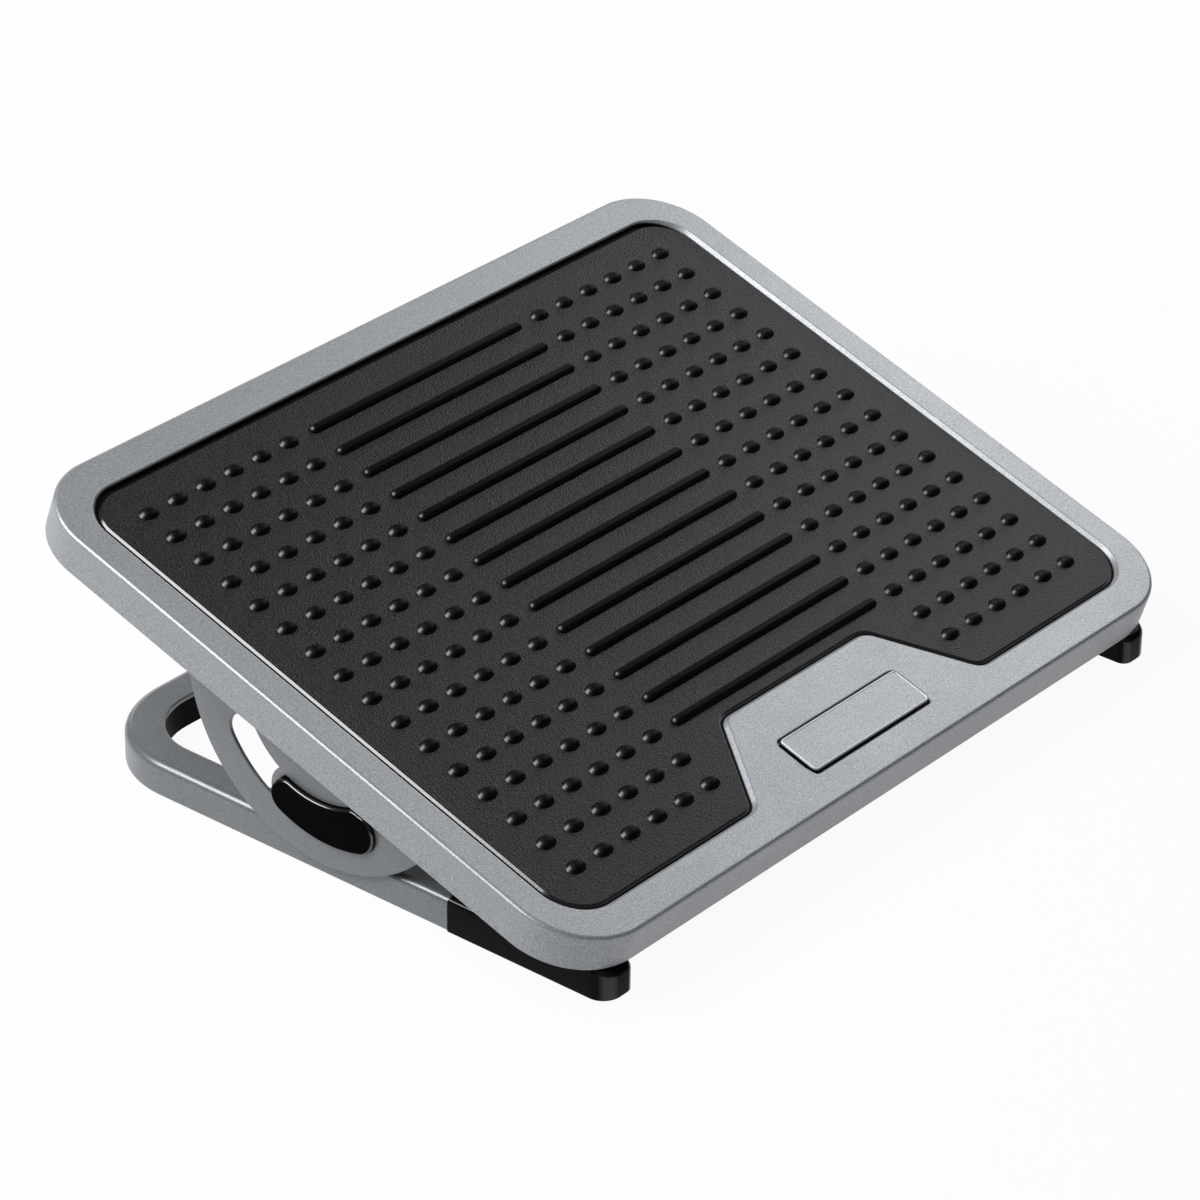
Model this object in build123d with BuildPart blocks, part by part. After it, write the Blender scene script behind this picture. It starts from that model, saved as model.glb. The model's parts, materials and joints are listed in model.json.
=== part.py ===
from build123d import *
import os
from math import cos, radians, sin, tan

# Under-desk footrest: a tray with a rubber foot mat, rocking on a U-shaped base.
#
# The tray hangs on two sheet-metal brackets. Each bracket has a curved slot, and a
# kidney-shaped guide block on the base fills part of it, so the tray turns about a line
# that lies just under the foot mat. The part is drawn with the rear of the tray fully up.
#
# Axes: +X right, +Y to the rear, +Z up. The origin is on the floor, under the middle of
# the whole footrest. Sizes are in millimetres, angles in degrees. Heights of the tray and
# reaches to the front and rear are counted from the tilt axis.

# Tilt
tilt_angle = 18.5
bracket_floor_gap = 6.4

# Tray
tray_width = 450.0
tray_depth = 352.0
tray_corner_radius = 38.0
tray_wall = 3.0
rim_above_axis = 2.4
rim_edge_radius = 1.6
skirt_depth = 19.5
skirt_draft = 1.0
skirt_edge_bevel = 0.6
rib_thickness = 2.0
rib_inset = 1.0
rib_columns = 9
rib_rows = 7

# Foot mat and the opening that it lies in
rim_side_width = 17.0
rim_end_width = 19.0
opening_corner_radius = 22.0
opening_edge_bevel = 0.8
notch_depth = 48.0
notch_bump_gap = 4.75
notch_side_lean = 32.5
notch_corner_radius = 10.0
mat_gap = 0.3
mat_flange_width = 2.6
mat_flange_thickness = 1.6
mat_thickness = 3.0
mat_below_rim = 1.0
mat_edge_bevel = 0.8

# Raised pattern on the mat
bump_columns = 6
bump_rows = 16
bump_pitch_x = 18.62
bump_side_margin = 25.15
bump_end_margin = 23.2
bump_diameter = 8.0
bump_sides = 6
bump_height = 2.8
bump_slope = 32.0
ridge_count = 14
ridge_bump_gap = 14.75
ridge_width = 5.8
ridge_height = 2.6
ridge_slope = 30.0
ridge_end_bevel = 2.2

# Plain badge plate on the tray's front panel
badge_width = 86.0
badge_depth = 23.0
badge_corner_radius = 2.5
badge_thickness = 2.0
badge_proud = 0.8
badge_gap = 1.0
badge_from_front = 29.5
badge_edge_bevel = 0.4

# Tilt brackets, folded from sheet
sheet_thickness = 2.0
bracket_inset = 17.5
bracket_radius = 80.3
bracket_bend_radius = 1.5
tab_below_ceiling = 8.0
tab_width = 24.0
tab_length = 156.0
tab_clearance = 4.5
slot_mid_radius = 55.25
slot_width = 16.7

# Guide blocks, friction pads and uprights on the base
guide_half_angle = 21.4
guide_clearance = 0.3
guide_proud = 3.0
guide_edge_bevel = 0.8
pad_thickness = 2.2
pad_margin = 4.5
pad_window_gap = 0.15
upright_thickness = 4.0
upright_foot_length = 52.0
upright_foot_thickness = 3.0
upright_foot_setback = 1.0
gusset_thickness = 3.0
gusset_height = 9.0
gusset_reach = 9.0

# U-shaped base: a black channel under a grey cover
base_bracket_gap = 0.5
base_rear_inset = 19.7
base_corner_radius = 52.5
rail_width = 19.0
rail_height = 17.0
rail_edge_radius = 3.0
rail_inner_edge_radius = 0.8
cover_wall = 2.2
cover_floor_gap = 0.6
core_wall = 2.4
core_floor_gap = 1.0
web_thickness = 2.0
web_inset = 1.0
rail_web_places = (-50.0, 45.0, 80.0)
rear_web_margin = 4.0
rear_web_count = 7

# Rubber boots on the front ends, and rubber feet under the rear bar
seam_reach = 72.0
boot_front_inset = 12.3
boot_oversize = 0.4
boot_outer_nose_radius = 9.5
boot_inner_nose_radius = 6.0
boot_top_edge_radius = 2.5
boot_wall = 2.6
boot_tray_clearance = 1.5
boot_fit = 0.1
tongue_length = 75.0
tongue_root = 6.0
rear_foot_length = 40.0
rear_foot_height = 3.0
rear_foot_fit = 0.3
rear_foot_seat = 3.0
rear_foot_corner_gap = 6.5

# Screws, drawn six-sided like the holes they sit in
screw_sides = 6
screw_diameter = 3.0
screw_head_diameter = 7.0
screw_head_height = 2.0
pilot_clearance = 0.1
pass_clearance = 0.5
bracket_screw_places = (-66.0, -28.0, 28.0, 66.0)
bracket_screw_inset = 13.5
bracket_screw_depth = 7.0
bracket_boss_width = 8.0
guide_screw_count = 2
guide_screw_angle = 12.0
guide_screw_depth = 5.0
upright_screw_places = (-16.0, 16.0)
upright_screw_depth = 8.0
upright_boss_length = 12.0
boot_screw_setback = 46.0
boot_screw_depth = 7.0
boot_screw_head_height = 1.4
boot_screw_recess = 0.3

# Heights in the tray
tilt = radians(tilt_angle)
skirt_bottom = rim_above_axis - skirt_depth
skirt_flare = skirt_depth * tan(radians(skirt_draft))
mat_top = rim_above_axis - mat_below_rim
mat_bottom = mat_top - mat_thickness
ceiling = mat_bottom - tray_wall
rim_ceiling = rim_above_axis - tray_wall
rib_bottom = skirt_bottom + rib_inset
tab_top = ceiling - tab_below_ceiling
tab_bottom = tab_top - sheet_thickness

# Plan of the tray
rib_pitch_x = (tray_width - 2 * tray_wall) / (rib_columns + 1)
rib_pitch_y = (tray_depth - 2 * tray_wall) / (rib_rows + 1)
opening_width = tray_width - 2 * rim_side_width
opening_depth = tray_depth - 2 * rim_end_width
opening_front = -opening_depth / 2
notch_back = opening_front + notch_depth
bump_block_width = bump_pitch_x * (bump_columns - 1)
bump_first_column = opening_width / 2 - bump_side_margin - bump_block_width
bump_rear_row = opening_depth / 2 - bump_end_margin
bump_pitch_y = 2 * bump_rear_row / (bump_rows - 1)
notch_front_width = 2 * (bump_first_column - notch_bump_gap)
notch_back_width = notch_front_width - 2 * notch_side_lean
ridge_length = 2 * (bump_first_column - ridge_bump_gap)
badge_middle = badge_from_front - tray_depth / 2

# Faces across the tilt joint, from the middle of the footrest outwards
axis_height = bracket_radius + bracket_floor_gap
bracket_outer_face = tray_width / 2 - bracket_inset
bracket_inner_face = bracket_outer_face - sheet_thickness
pad_outer_face = bracket_inner_face - guide_clearance
upright_outer_face = pad_outer_face - pad_thickness
upright_inner_face = upright_outer_face - upright_thickness
guide_outer_face = bracket_outer_face + guide_proud
guide_width = slot_width - 2 * guide_clearance
pad_width = guide_width + 2 * pad_margin
slot_half_angle = guide_half_angle + tilt_angle

# Lines of the base
base_half_width = bracket_inner_face - base_bracket_gap
base_rear_reach = tray_depth / 2 - base_rear_inset
boot_front_reach = tray_depth / 2 - boot_front_inset
rail_middle = base_half_width - rail_width / 2
rail_inner_face = base_half_width - rail_width
rail_rear_line = base_rear_reach - rail_width / 2
core_top = rail_height - cover_wall
core_outer_face = base_half_width - cover_wall
channel_top = core_top - core_wall
channel_width = core_outer_face - rail_inner_face - 2 * core_wall
channel_middle = (core_outer_face + rail_inner_face) / 2
core_middle = channel_middle - rail_middle
rear_channel = rail_rear_line + core_middle
rear_foot_place = base_half_width - base_corner_radius - rear_foot_corner_gap - rear_foot_length / 2
rear_web_pitch = 2 * (rear_foot_place - rear_foot_length / 2 - rear_web_margin) / (rear_web_count - 1)
web_bottom = core_floor_gap + web_inset
tongue_width = rail_width - 2 * boot_wall
tongue_height = rail_height - 2 * boot_wall
upright_foot_inner = rail_inner_face + upright_foot_setback
upright_foot_top = rail_height + upright_foot_thickness

# Screw holes
pilot_diameter = screw_diameter + 2 * pilot_clearance
pass_diameter = screw_diameter + 2 * pass_clearance
sink_diameter = screw_head_diameter + 2 * pass_clearance
bracket_screw_x = bracket_outer_face - bracket_screw_inset
boot_screw_reach = seam_reach + boot_screw_setback
sole_seat = boot_screw_recess + boot_screw_head_height

# The tray's lower rear edge and upper front edge are its furthest points. The axis stands
# where these two are equally far from the origin.
bevel_flare = (skirt_depth - skirt_edge_bevel) * tan(radians(skirt_draft))
rear_reach = cos(tilt) * (tray_depth / 2 + bevel_flare) - sin(tilt) * (skirt_bottom + skirt_edge_bevel)
front_reach = (
    cos(tilt) * (tray_depth / 2 - rim_edge_radius)
    + sin(tilt) * (rim_above_axis - rim_edge_radius)
    + rim_edge_radius
)
axis_y = (front_reach - rear_reach) / 2

# Planes: the tray's own tilted plane, and the floor right below the tilt axis
tray_up = (0, -sin(tilt), cos(tilt))
tray_rear = (0, cos(tilt), sin(tilt))
tray = Plane(origin=(0, axis_y, axis_height), x_dir=(1, 0, 0), z_dir=tray_up)
tray_axis = Axis((0, axis_y, axis_height), tray_up)
tray_depth_axis = Axis((0, axis_y, axis_height), tray_rear)
floor = Plane(origin=(0, axis_y, 0))
rail_start = Plane(origin=(-rail_middle, axis_y - seam_reach, 0), x_dir=(-1, 0, 0), z_dir=(0, 1, 0))
sides = (("left", -1), ("right", 1))
parts = {}


def tray_side(x):
    """Upright plane at x that tilts with the tray: its own x runs rearwards, its own y up."""
    return Plane(origin=(x, axis_y, axis_height), x_dir=tray_rear, z_dir=(1, 0, 0))


def base_side(x):
    """Upright plane at x on the base, centred on the tilt axis: its own x runs rearwards."""
    return Plane(origin=(x, axis_y, axis_height), x_dir=(0, 1, 0), z_dir=(1, 0, 0))


def arc_slot(half_angle, width):
    """Plan of a round-ended curved slot around the tilt axis, centred straight below it."""
    with BuildSketch() as plan:
        middle = CenterArc((0, 0), slot_mid_radius, -90 - half_angle, 2 * half_angle, mode=Mode.PRIVATE)
        SlotArc(middle, width)
    return plan.sketch


def rail_path():
    """Line along the middle of the U-shaped rail, from its left front end to its right one."""
    with BuildLine() as path:
        FilletPolyline(
            (-rail_middle, axis_y - seam_reach),
            (-rail_middle, axis_y + rail_rear_line),
            (rail_middle, axis_y + rail_rear_line),
            (rail_middle, axis_y - seam_reach),
            radius=base_corner_radius - rail_width / 2,
        )
    return path.wire()


def screw_group(seats, places, head_height, length):
    """Screws on the given seat planes: the heads stand on the upper side, the shanks go down."""
    with BuildPart() as group:
        for seat in seats:
            with BuildSketch(seat):
                with Locations(*places):
                    RegularPolygon(screw_head_diameter / 2, screw_sides)
            extrude(amount=head_height)
            with BuildSketch(seat):
                with Locations(*places):
                    RegularPolygon(screw_diameter / 2, screw_sides)
            extrude(amount=-length)
    return group.part


slot_plan = arc_slot(slot_half_angle, slot_width)
guide_plan = arc_slot(guide_half_angle, guide_width)
pad_plan = arc_slot(guide_half_angle, pad_width)
pad_window_plan = arc_slot(guide_half_angle, guide_width + 2 * pad_window_gap)
guide_screw_arc = PolarLocations(
    slot_mid_radius, guide_screw_count, -90 - guide_screw_angle, 2 * guide_screw_angle, endpoint=True
)
guide_screw_places = [(place.position.X, place.position.Y) for place in guide_screw_arc]
bracket_screw_points = [(sign * bracket_screw_x, y) for _, sign in sides for y in bracket_screw_places]
upright_screw_points = [(sign * channel_middle, y) for _, sign in sides for y in upright_screw_places]
boot_screw_points = [(sign * rail_middle, -boot_screw_reach) for _, sign in sides]
rear_foot_points = [(sign * rear_foot_place, rear_channel) for _, sign in sides]

# Plan of the mat's opening: a rounded rectangle with a flared notch in its front edge
with BuildSketch() as opening_plan:
    RectangleRounded(opening_width, opening_depth, opening_corner_radius)
    with BuildLine():
        Polyline(
            (-notch_front_width / 2, opening_front),
            (-notch_back_width / 2, notch_back),
            (notch_back_width / 2, notch_back),
            (notch_front_width / 2, opening_front),
            close=True,
        )
    make_face(mode=Mode.SUBTRACT)
    notch_corners = opening_plan.vertices().filter_by_position(
        Axis.X, -notch_front_width / 2 - rim_side_width, notch_front_width / 2 + rim_side_width
    )
    fillet(notch_corners, notch_corner_radius)

# Plan of the space inside the tray's skirt
with BuildSketch() as hollow_plan:
    RectangleRounded(tray_width - 2 * tray_wall, tray_depth - 2 * tray_wall, tray_corner_radius - tray_wall)

# Tray: a shallow moulding, open below, with a drafted skirt, a grid of ribs and screw bosses
with BuildPart() as tray_shell:
    with BuildSketch(tray.offset(skirt_bottom)):
        RectangleRounded(
            tray_width + 2 * skirt_flare, tray_depth + 2 * skirt_flare, tray_corner_radius + skirt_flare
        )
    extrude(amount=skirt_depth, taper=skirt_draft)
    fillet(tray_shell.faces().sort_by(tray_axis)[-1].edges(), rim_edge_radius)
    chamfer(tray_shell.faces().sort_by(tray_axis)[0].edges(), skirt_edge_bevel)
    with BuildSketch(tray.offset(skirt_bottom)):
        add(hollow_plan.sketch)
    extrude(amount=ceiling - skirt_bottom, mode=Mode.SUBTRACT)
    with BuildSketch(tray.offset(ceiling)):
        add(hollow_plan.sketch)
        offset(opening_plan.sketch, amount=tray_wall, mode=Mode.SUBTRACT)
    extrude(amount=rim_ceiling - ceiling, mode=Mode.SUBTRACT)
    with BuildSketch(tray.offset(rim_ceiling)):
        with GridLocations(rib_pitch_x, 0, rib_columns, 1):
            Rectangle(rib_thickness, tray_depth)
        with GridLocations(0, rib_pitch_y, 1, rib_rows):
            Rectangle(tray_width, rib_thickness)
        add(hollow_plan.sketch, mode=Mode.INTERSECT)
    extrude(amount=rib_bottom - rim_ceiling)
    with BuildSketch(tray.offset(rib_bottom)):
        with GridLocations(2 * bracket_outer_face - tab_width, 0, 2, 1):
            Rectangle(tab_width + 2 * tab_clearance, 2 * (bracket_radius + tab_clearance))
    extrude(amount=tab_top - rib_bottom, mode=Mode.SUBTRACT)
    with BuildSketch(tray.offset(tab_top)):
        with Locations(*bracket_screw_points):
            Rectangle(bracket_boss_width, bracket_boss_width)
    extrude(amount=ceiling - tab_top)
    with BuildSketch(tray.offset(tab_top)):
        with Locations(*bracket_screw_points):
            RegularPolygon(pilot_diameter / 2, screw_sides)
    extrude(amount=bracket_screw_depth + pilot_clearance, mode=Mode.SUBTRACT)
    with BuildSketch(tray.offset(rim_above_axis)):
        add(opening_plan.sketch)
    extrude(amount=mat_bottom - rim_above_axis, mode=Mode.SUBTRACT)
    rim_face = tray_shell.faces().sort_by(tray_axis)[-1]
    chamfer(rim_face.inner_wires()[0].edges(), opening_edge_bevel)
    with BuildSketch(tray.offset(rim_above_axis)):
        with Locations((0, badge_middle)):
            RectangleRounded(
                badge_width + 2 * badge_gap, badge_depth + 2 * badge_gap, badge_corner_radius + badge_gap
            )
    extrude(amount=badge_proud - badge_thickness, mode=Mode.SUBTRACT)
parts["tray_shell"] = tray_shell.part

# One bump of the mat, as a low faceted dome
with BuildPart() as bump:
    with BuildSketch():
        RegularPolygon(bump_diameter / 2, bump_sides)
    extrude(amount=bump_height, taper=bump_slope)

# Foot mat: rubber, a thin flange round a raised field that has rows of bumps at both sides and
# cross ridges between them
with BuildPart() as foot_mat:
    with BuildSketch(tray.offset(mat_bottom)):
        offset(opening_plan.sketch, amount=-mat_gap)
    extrude(amount=mat_flange_thickness)
    with BuildSketch(tray.offset(mat_bottom)):
        offset(opening_plan.sketch, amount=-(mat_gap + mat_flange_width))
    extrude(amount=mat_thickness)
    chamfer(foot_mat.faces().sort_by(tray_axis)[-1].edges(), mat_edge_bevel)
    with BuildSketch(tray.offset(mat_top)) as ridges:
        with Locations(*[(0, bump_rear_row - row * bump_pitch_y) for row in range(ridge_count)]):
            Rectangle(ridge_length, ridge_width)
        chamfer(ridges.vertices(), ridge_end_bevel)
    extrude(amount=ridge_height, taper=ridge_slope)
    with Locations(tray.offset(mat_top)):
        with GridLocations(2 * bump_first_column + bump_block_width, 0, 2, 1):
            with GridLocations(bump_pitch_x, bump_pitch_y, bump_columns, bump_rows):
                add(bump.part)
parts["foot_mat"] = foot_mat.part

# Badge plate, left bare
with BuildPart() as badge_plate:
    with BuildSketch(tray.offset(rim_above_axis + badge_proud)):
        with Locations((0, badge_middle)):
            RectangleRounded(badge_width, badge_depth, badge_corner_radius)
    extrude(amount=-badge_thickness)
    chamfer(badge_plate.faces().sort_by(tray_axis)[-1].edges(), badge_edge_bevel)
parts["badge_plate"] = badge_plate.part

# Tilt brackets: a half disc of sheet with a curved slot, its top edge folded inwards as a tab
for side, sign in sides:
    with BuildPart() as tilt_bracket:
        with BuildSketch(tray_side(sign * bracket_inner_face)):
            Circle(bracket_radius)
            with Locations((0, tab_top)):
                Rectangle(
                    2 * bracket_radius, 2 * bracket_radius, align=(Align.CENTER, Align.MIN),
                    mode=Mode.SUBTRACT,
                )
            add(slot_plan, mode=Mode.SUBTRACT)
        extrude(amount=sign * sheet_thickness)
        with BuildSketch(tray.offset(tab_top)):
            with Locations((sign * (bracket_outer_face - tab_width / 2), 0)):
                Rectangle(tab_width, tab_length)
            with Locations(*[(sign * bracket_screw_x, y) for y in bracket_screw_places]):
                RegularPolygon(pass_diameter / 2, screw_sides, mode=Mode.SUBTRACT)
        extrude(amount=-sheet_thickness)
        long_edges = tilt_bracket.edges().filter_by(tray_depth_axis)
        bend = long_edges.group_by(tray_axis)[-1].sort_by(Axis.X)[-1 if sign > 0 else 0]
        fillet(bend, bracket_bend_radius)
    parts[f"{side}_tilt_bracket"] = tilt_bracket.part

# Screws that hold the brackets' tabs to the tray, heads below
tab_underside = Plane(tray.offset(tab_bottom).origin, x_dir=(-1, 0, 0), z_dir=(0, sin(tilt), -cos(tilt)))
bracket_screw_length = sheet_thickness + bracket_screw_depth
parts["bracket_screws"] = screw_group(
    [tab_underside], bracket_screw_points, screw_head_height, bracket_screw_length
)

# Base core: a black channel bent into a U, open below, with cross webs and a tongue at each end
with BuildPart() as base_core:
    with BuildSketch(rail_start):
        with Locations((core_middle, core_floor_gap)):
            Rectangle(
                channel_width + 2 * core_wall, core_top - core_floor_gap, align=(Align.CENTER, Align.MIN)
            )
            Rectangle(
                channel_width, channel_top - core_floor_gap, align=(Align.CENTER, Align.MIN),
                mode=Mode.SUBTRACT,
            )
    sweep(path=rail_path())
    with BuildSketch(floor.offset(web_bottom)):
        for place in rail_web_places:
            with GridLocations(2 * channel_middle, 0, 2, 1):
                with Locations((0, place)):
                    Rectangle(channel_width, web_thickness)
        with Locations((0, rear_channel)):
            with GridLocations(rear_web_pitch, 0, rear_web_count, 1):
                Rectangle(web_thickness, channel_width)
        with Locations(*upright_screw_points):
            Rectangle(channel_width, upright_boss_length)
        with Locations((-channel_middle, -seam_reach), (channel_middle, -seam_reach)):
            Rectangle(channel_width, tongue_root, align=(Align.CENTER, Align.MIN))
    extrude(amount=channel_top - web_bottom)
    with BuildSketch(floor.offset(rear_foot_height)):
        with Locations(*rear_foot_points):
            Rectangle(rear_foot_length, channel_width)
    extrude(amount=rear_foot_seat)
    with BuildSketch(floor.offset(boot_wall)):
        with Locations((-rail_middle, -seam_reach), (rail_middle, -seam_reach)):
            Rectangle(tongue_width, tongue_length, align=(Align.CENTER, Align.MAX))
    extrude(amount=tongue_height)
    with BuildSketch(floor.offset(core_top)):
        with Locations(*upright_screw_points):
            RegularPolygon(pilot_diameter / 2, screw_sides)
    extrude(amount=-(upright_screw_depth + pilot_clearance), mode=Mode.SUBTRACT)
    with BuildSketch(floor.offset(boot_wall)):
        with Locations(*boot_screw_points):
            RegularPolygon(pilot_diameter / 2, screw_sides)
    extrude(amount=boot_screw_depth + pilot_clearance, mode=Mode.SUBTRACT)
parts["base_core"] = base_core.part

# Base cover: a grey angle section over the top and the outer wall of the core
with BuildPart() as base_cover:
    with BuildSketch(rail_start) as cover_section:
        with Locations((0, cover_floor_gap)):
            Rectangle(rail_width, rail_height - cover_floor_gap, align=(Align.CENTER, Align.MIN))
        with Locations((-rail_width / 2, cover_floor_gap)):
            Rectangle(
                rail_width - cover_wall, core_top - cover_floor_gap, align=(Align.MIN, Align.MIN),
                mode=Mode.SUBTRACT,
            )
        top_corners = cover_section.vertices().group_by(Axis.Y)[-1].sort_by(Axis.X)
        fillet(top_corners[-1], rail_edge_radius)
        fillet(top_corners[0], rail_inner_edge_radius)
    sweep(path=rail_path())
    with BuildSketch(floor.offset(rail_height)):
        with Locations(*upright_screw_points):
            RegularPolygon(pass_diameter / 2, screw_sides)
    extrude(amount=-cover_wall, mode=Mode.SUBTRACT)
parts["base_cover"] = base_cover.part

# Uprights: an angle on each rail, with a raised lug that carries the guide block
for side, sign in sides:
    with BuildPart() as upright:
        with BuildSketch(base_side(sign * upright_inner_face)):
            add(pad_plan)
            with Locations((0, rail_height - axis_height)):
                Rectangle(
                    upright_foot_length, axis_height - rail_height - slot_mid_radius,
                    align=(Align.CENTER, Align.MIN),
                )
            with Locations(*guide_screw_places):
                RegularPolygon(pass_diameter / 2, screw_sides, mode=Mode.SUBTRACT)
        extrude(amount=sign * upright_thickness)
        with BuildSketch(floor.offset(rail_height)):
            with Locations((sign * (upright_foot_inner + upright_inner_face) / 2, 0)):
                Rectangle(upright_inner_face - upright_foot_inner, upright_foot_length)
            with Locations(*[(sign * channel_middle, y) for y in upright_screw_places]):
                RegularPolygon(pass_diameter / 2, screw_sides, mode=Mode.SUBTRACT)
        extrude(amount=upright_foot_thickness)
        gusset_row = (upright_foot_length - gusset_thickness) / 2
        for place in (-gusset_row, 0, gusset_row):
            with BuildSketch(Plane.XZ.offset(-axis_y - place)):
                with BuildLine():
                    Polyline(
                        (sign * upright_inner_face, upright_foot_top),
                        (sign * (upright_inner_face - gusset_reach), upright_foot_top),
                        (sign * upright_inner_face, upright_foot_top + gusset_height),
                        close=True,
                    )
                make_face()
            extrude(amount=gusset_thickness / 2, both=True)
    parts[f"{side}_upright"] = upright.part

# Friction pads: flat rings round the guide blocks, between the uprights and the brackets
for side, sign in sides:
    with BuildPart() as friction_pad:
        with BuildSketch(base_side(sign * upright_outer_face)):
            add(pad_plan)
            add(pad_window_plan, mode=Mode.SUBTRACT)
        extrude(amount=sign * pad_thickness)
    parts[f"{side}_friction_pad"] = friction_pad.part

# Guide blocks: kidney-shaped slides that stand through the brackets' slots
for side, sign in sides:
    with BuildPart() as guide_block:
        with BuildSketch(base_side(sign * upright_outer_face)):
            add(guide_plan)
        extrude(amount=sign * (guide_outer_face - upright_outer_face))
        outer_face = guide_block.faces().sort_by(Axis.X)[-1 if sign > 0 else 0]
        chamfer(outer_face.edges(), guide_edge_bevel)
        with BuildSketch(base_side(sign * upright_outer_face)):
            with Locations(*guide_screw_places):
                RegularPolygon(pilot_diameter / 2, screw_sides)
        extrude(amount=sign * (guide_screw_depth + pilot_clearance), mode=Mode.SUBTRACT)
    parts[f"{side}_guide_block"] = guide_block.part

# Screws that hold the guide blocks to the uprights, heads inside
upright_insides = [
    Plane(origin=(sign * upright_inner_face, axis_y, axis_height), x_dir=(0, -sign, 0), z_dir=(-sign, 0, 0))
    for _, sign in sides
]
guide_screw_length = upright_thickness + guide_screw_depth
parts["guide_screws"] = screw_group(
    upright_insides, guide_screw_places, screw_head_height, guide_screw_length
)

# Screws that hold the uprights down to the core, through the cover
upright_screw_length = upright_foot_thickness + cover_wall + upright_screw_depth
parts["upright_screws"] = screw_group(
    [floor.offset(upright_foot_top)], upright_screw_points, screw_head_height, upright_screw_length
)

# Front boots: rubber sleeves on the core's tongues, with a rounded nose
for side, sign in sides:
    with BuildPart() as front_boot:
        with BuildSketch(floor) as boot_plan:
            with Locations((sign * rail_middle, -seam_reach)):
                Rectangle(
                    rail_width + 2 * boot_oversize, boot_front_reach - seam_reach,
                    align=(Align.CENTER, Align.MAX),
                )
            nose_corners = boot_plan.vertices().group_by(Axis.Y)[0].sort_by(Axis.X)
            fillet(nose_corners[-1 if sign > 0 else 0], boot_outer_nose_radius)
            nose_corners = boot_plan.vertices().group_by(Axis.Y)[0].sort_by(Axis.X)
            fillet(nose_corners[0 if sign > 0 else -1], boot_inner_nose_radius)
        extrude(amount=rail_height + boot_oversize)
        fillet(front_boot.faces().sort_by(Axis.Z)[-1].edges(), boot_top_edge_radius)
        split(bisect_by=tray.offset(skirt_bottom - boot_tray_clearance), keep=Keep.BOTTOM)
        with BuildSketch(floor.offset(boot_wall - boot_fit)):
            with Locations((sign * rail_middle, -seam_reach)):
                Rectangle(
                    tongue_width + 2 * boot_fit, tongue_length + boot_fit, align=(Align.CENTER, Align.MAX)
                )
        extrude(amount=tongue_height + 2 * boot_fit, mode=Mode.SUBTRACT)
        with BuildSketch(floor):
            with Locations((sign * rail_middle, -boot_screw_reach)):
                RegularPolygon(sink_diameter / 2, screw_sides)
        extrude(amount=sole_seat, mode=Mode.SUBTRACT)
        with BuildSketch(floor):
            with Locations((sign * rail_middle, -boot_screw_reach)):
                RegularPolygon(pass_diameter / 2, screw_sides)
        extrude(amount=boot_wall, mode=Mode.SUBTRACT)
    parts[f"{side}_front_boot"] = front_boot.part

# Screws that hold the boots to the tongues, heads sunk in the soles
sole = Plane(origin=(0, axis_y, sole_seat), x_dir=(-1, 0, 0), z_dir=(0, 0, -1))
boot_screw_length = boot_wall - sole_seat + boot_screw_depth
parts["boot_screws"] = screw_group([sole], boot_screw_points, boot_screw_head_height, boot_screw_length)

# Rear feet: rubber strips set into the core's channel
for side, sign in sides:
    with BuildPart() as rear_foot:
        with BuildSketch(floor):
            with Locations((sign * rear_foot_place, rear_channel)):
                RectangleRounded(
                    rear_foot_length - 2 * rear_foot_fit, channel_width - 2 * rear_foot_fit, rear_foot_height
                )
        extrude(amount=rear_foot_height)
    parts[f"{side}_rear_foot"] = rear_foot.part

os.makedirs("parts", exist_ok=True)
for name, piece in parts.items():
    piece.label = name
    export_step(piece, f"parts/{name}.step")
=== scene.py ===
# %% [markdown]
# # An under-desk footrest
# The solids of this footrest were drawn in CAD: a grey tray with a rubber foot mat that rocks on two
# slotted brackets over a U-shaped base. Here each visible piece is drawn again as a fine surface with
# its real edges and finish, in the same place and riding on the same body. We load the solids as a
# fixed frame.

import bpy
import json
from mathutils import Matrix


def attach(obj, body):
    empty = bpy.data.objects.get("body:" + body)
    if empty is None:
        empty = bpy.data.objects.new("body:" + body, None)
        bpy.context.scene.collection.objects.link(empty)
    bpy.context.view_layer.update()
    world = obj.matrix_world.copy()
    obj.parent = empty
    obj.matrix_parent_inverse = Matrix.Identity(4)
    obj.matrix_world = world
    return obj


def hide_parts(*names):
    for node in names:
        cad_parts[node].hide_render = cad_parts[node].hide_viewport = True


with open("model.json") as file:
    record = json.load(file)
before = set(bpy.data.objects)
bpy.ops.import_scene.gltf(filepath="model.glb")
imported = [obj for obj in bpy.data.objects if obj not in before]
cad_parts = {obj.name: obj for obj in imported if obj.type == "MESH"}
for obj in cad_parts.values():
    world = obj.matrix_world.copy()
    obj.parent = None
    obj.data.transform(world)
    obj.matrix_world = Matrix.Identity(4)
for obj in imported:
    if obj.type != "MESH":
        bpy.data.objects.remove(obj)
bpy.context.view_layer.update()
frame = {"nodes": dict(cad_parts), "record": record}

# %% Modules
import json

import bmesh
import bpy
import numpy as np
from mathutils import Matrix, Vector

# %% [markdown]
# ## Two sets of axes
# The base stands level, but the tray is tilted. It is far easier to draw the tray flat, in millimetres
# from its tilt axis, and to turn all its points at once. The axis and the tilt come from the frame's
# hinge: the footrest is shown at one end of its travel, and level is half way.

# %% Turn tray points into the footrest's own axes
MM = 0.001
hinge = frame["record"]["behaviour"]["joints"][0]
axis_y = hinge["pos_m"][1] / MM
axis_z = hinge["pos_m"][2] / MM
tilt = np.radians(-hinge["range_deg"][0] / 2)


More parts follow.
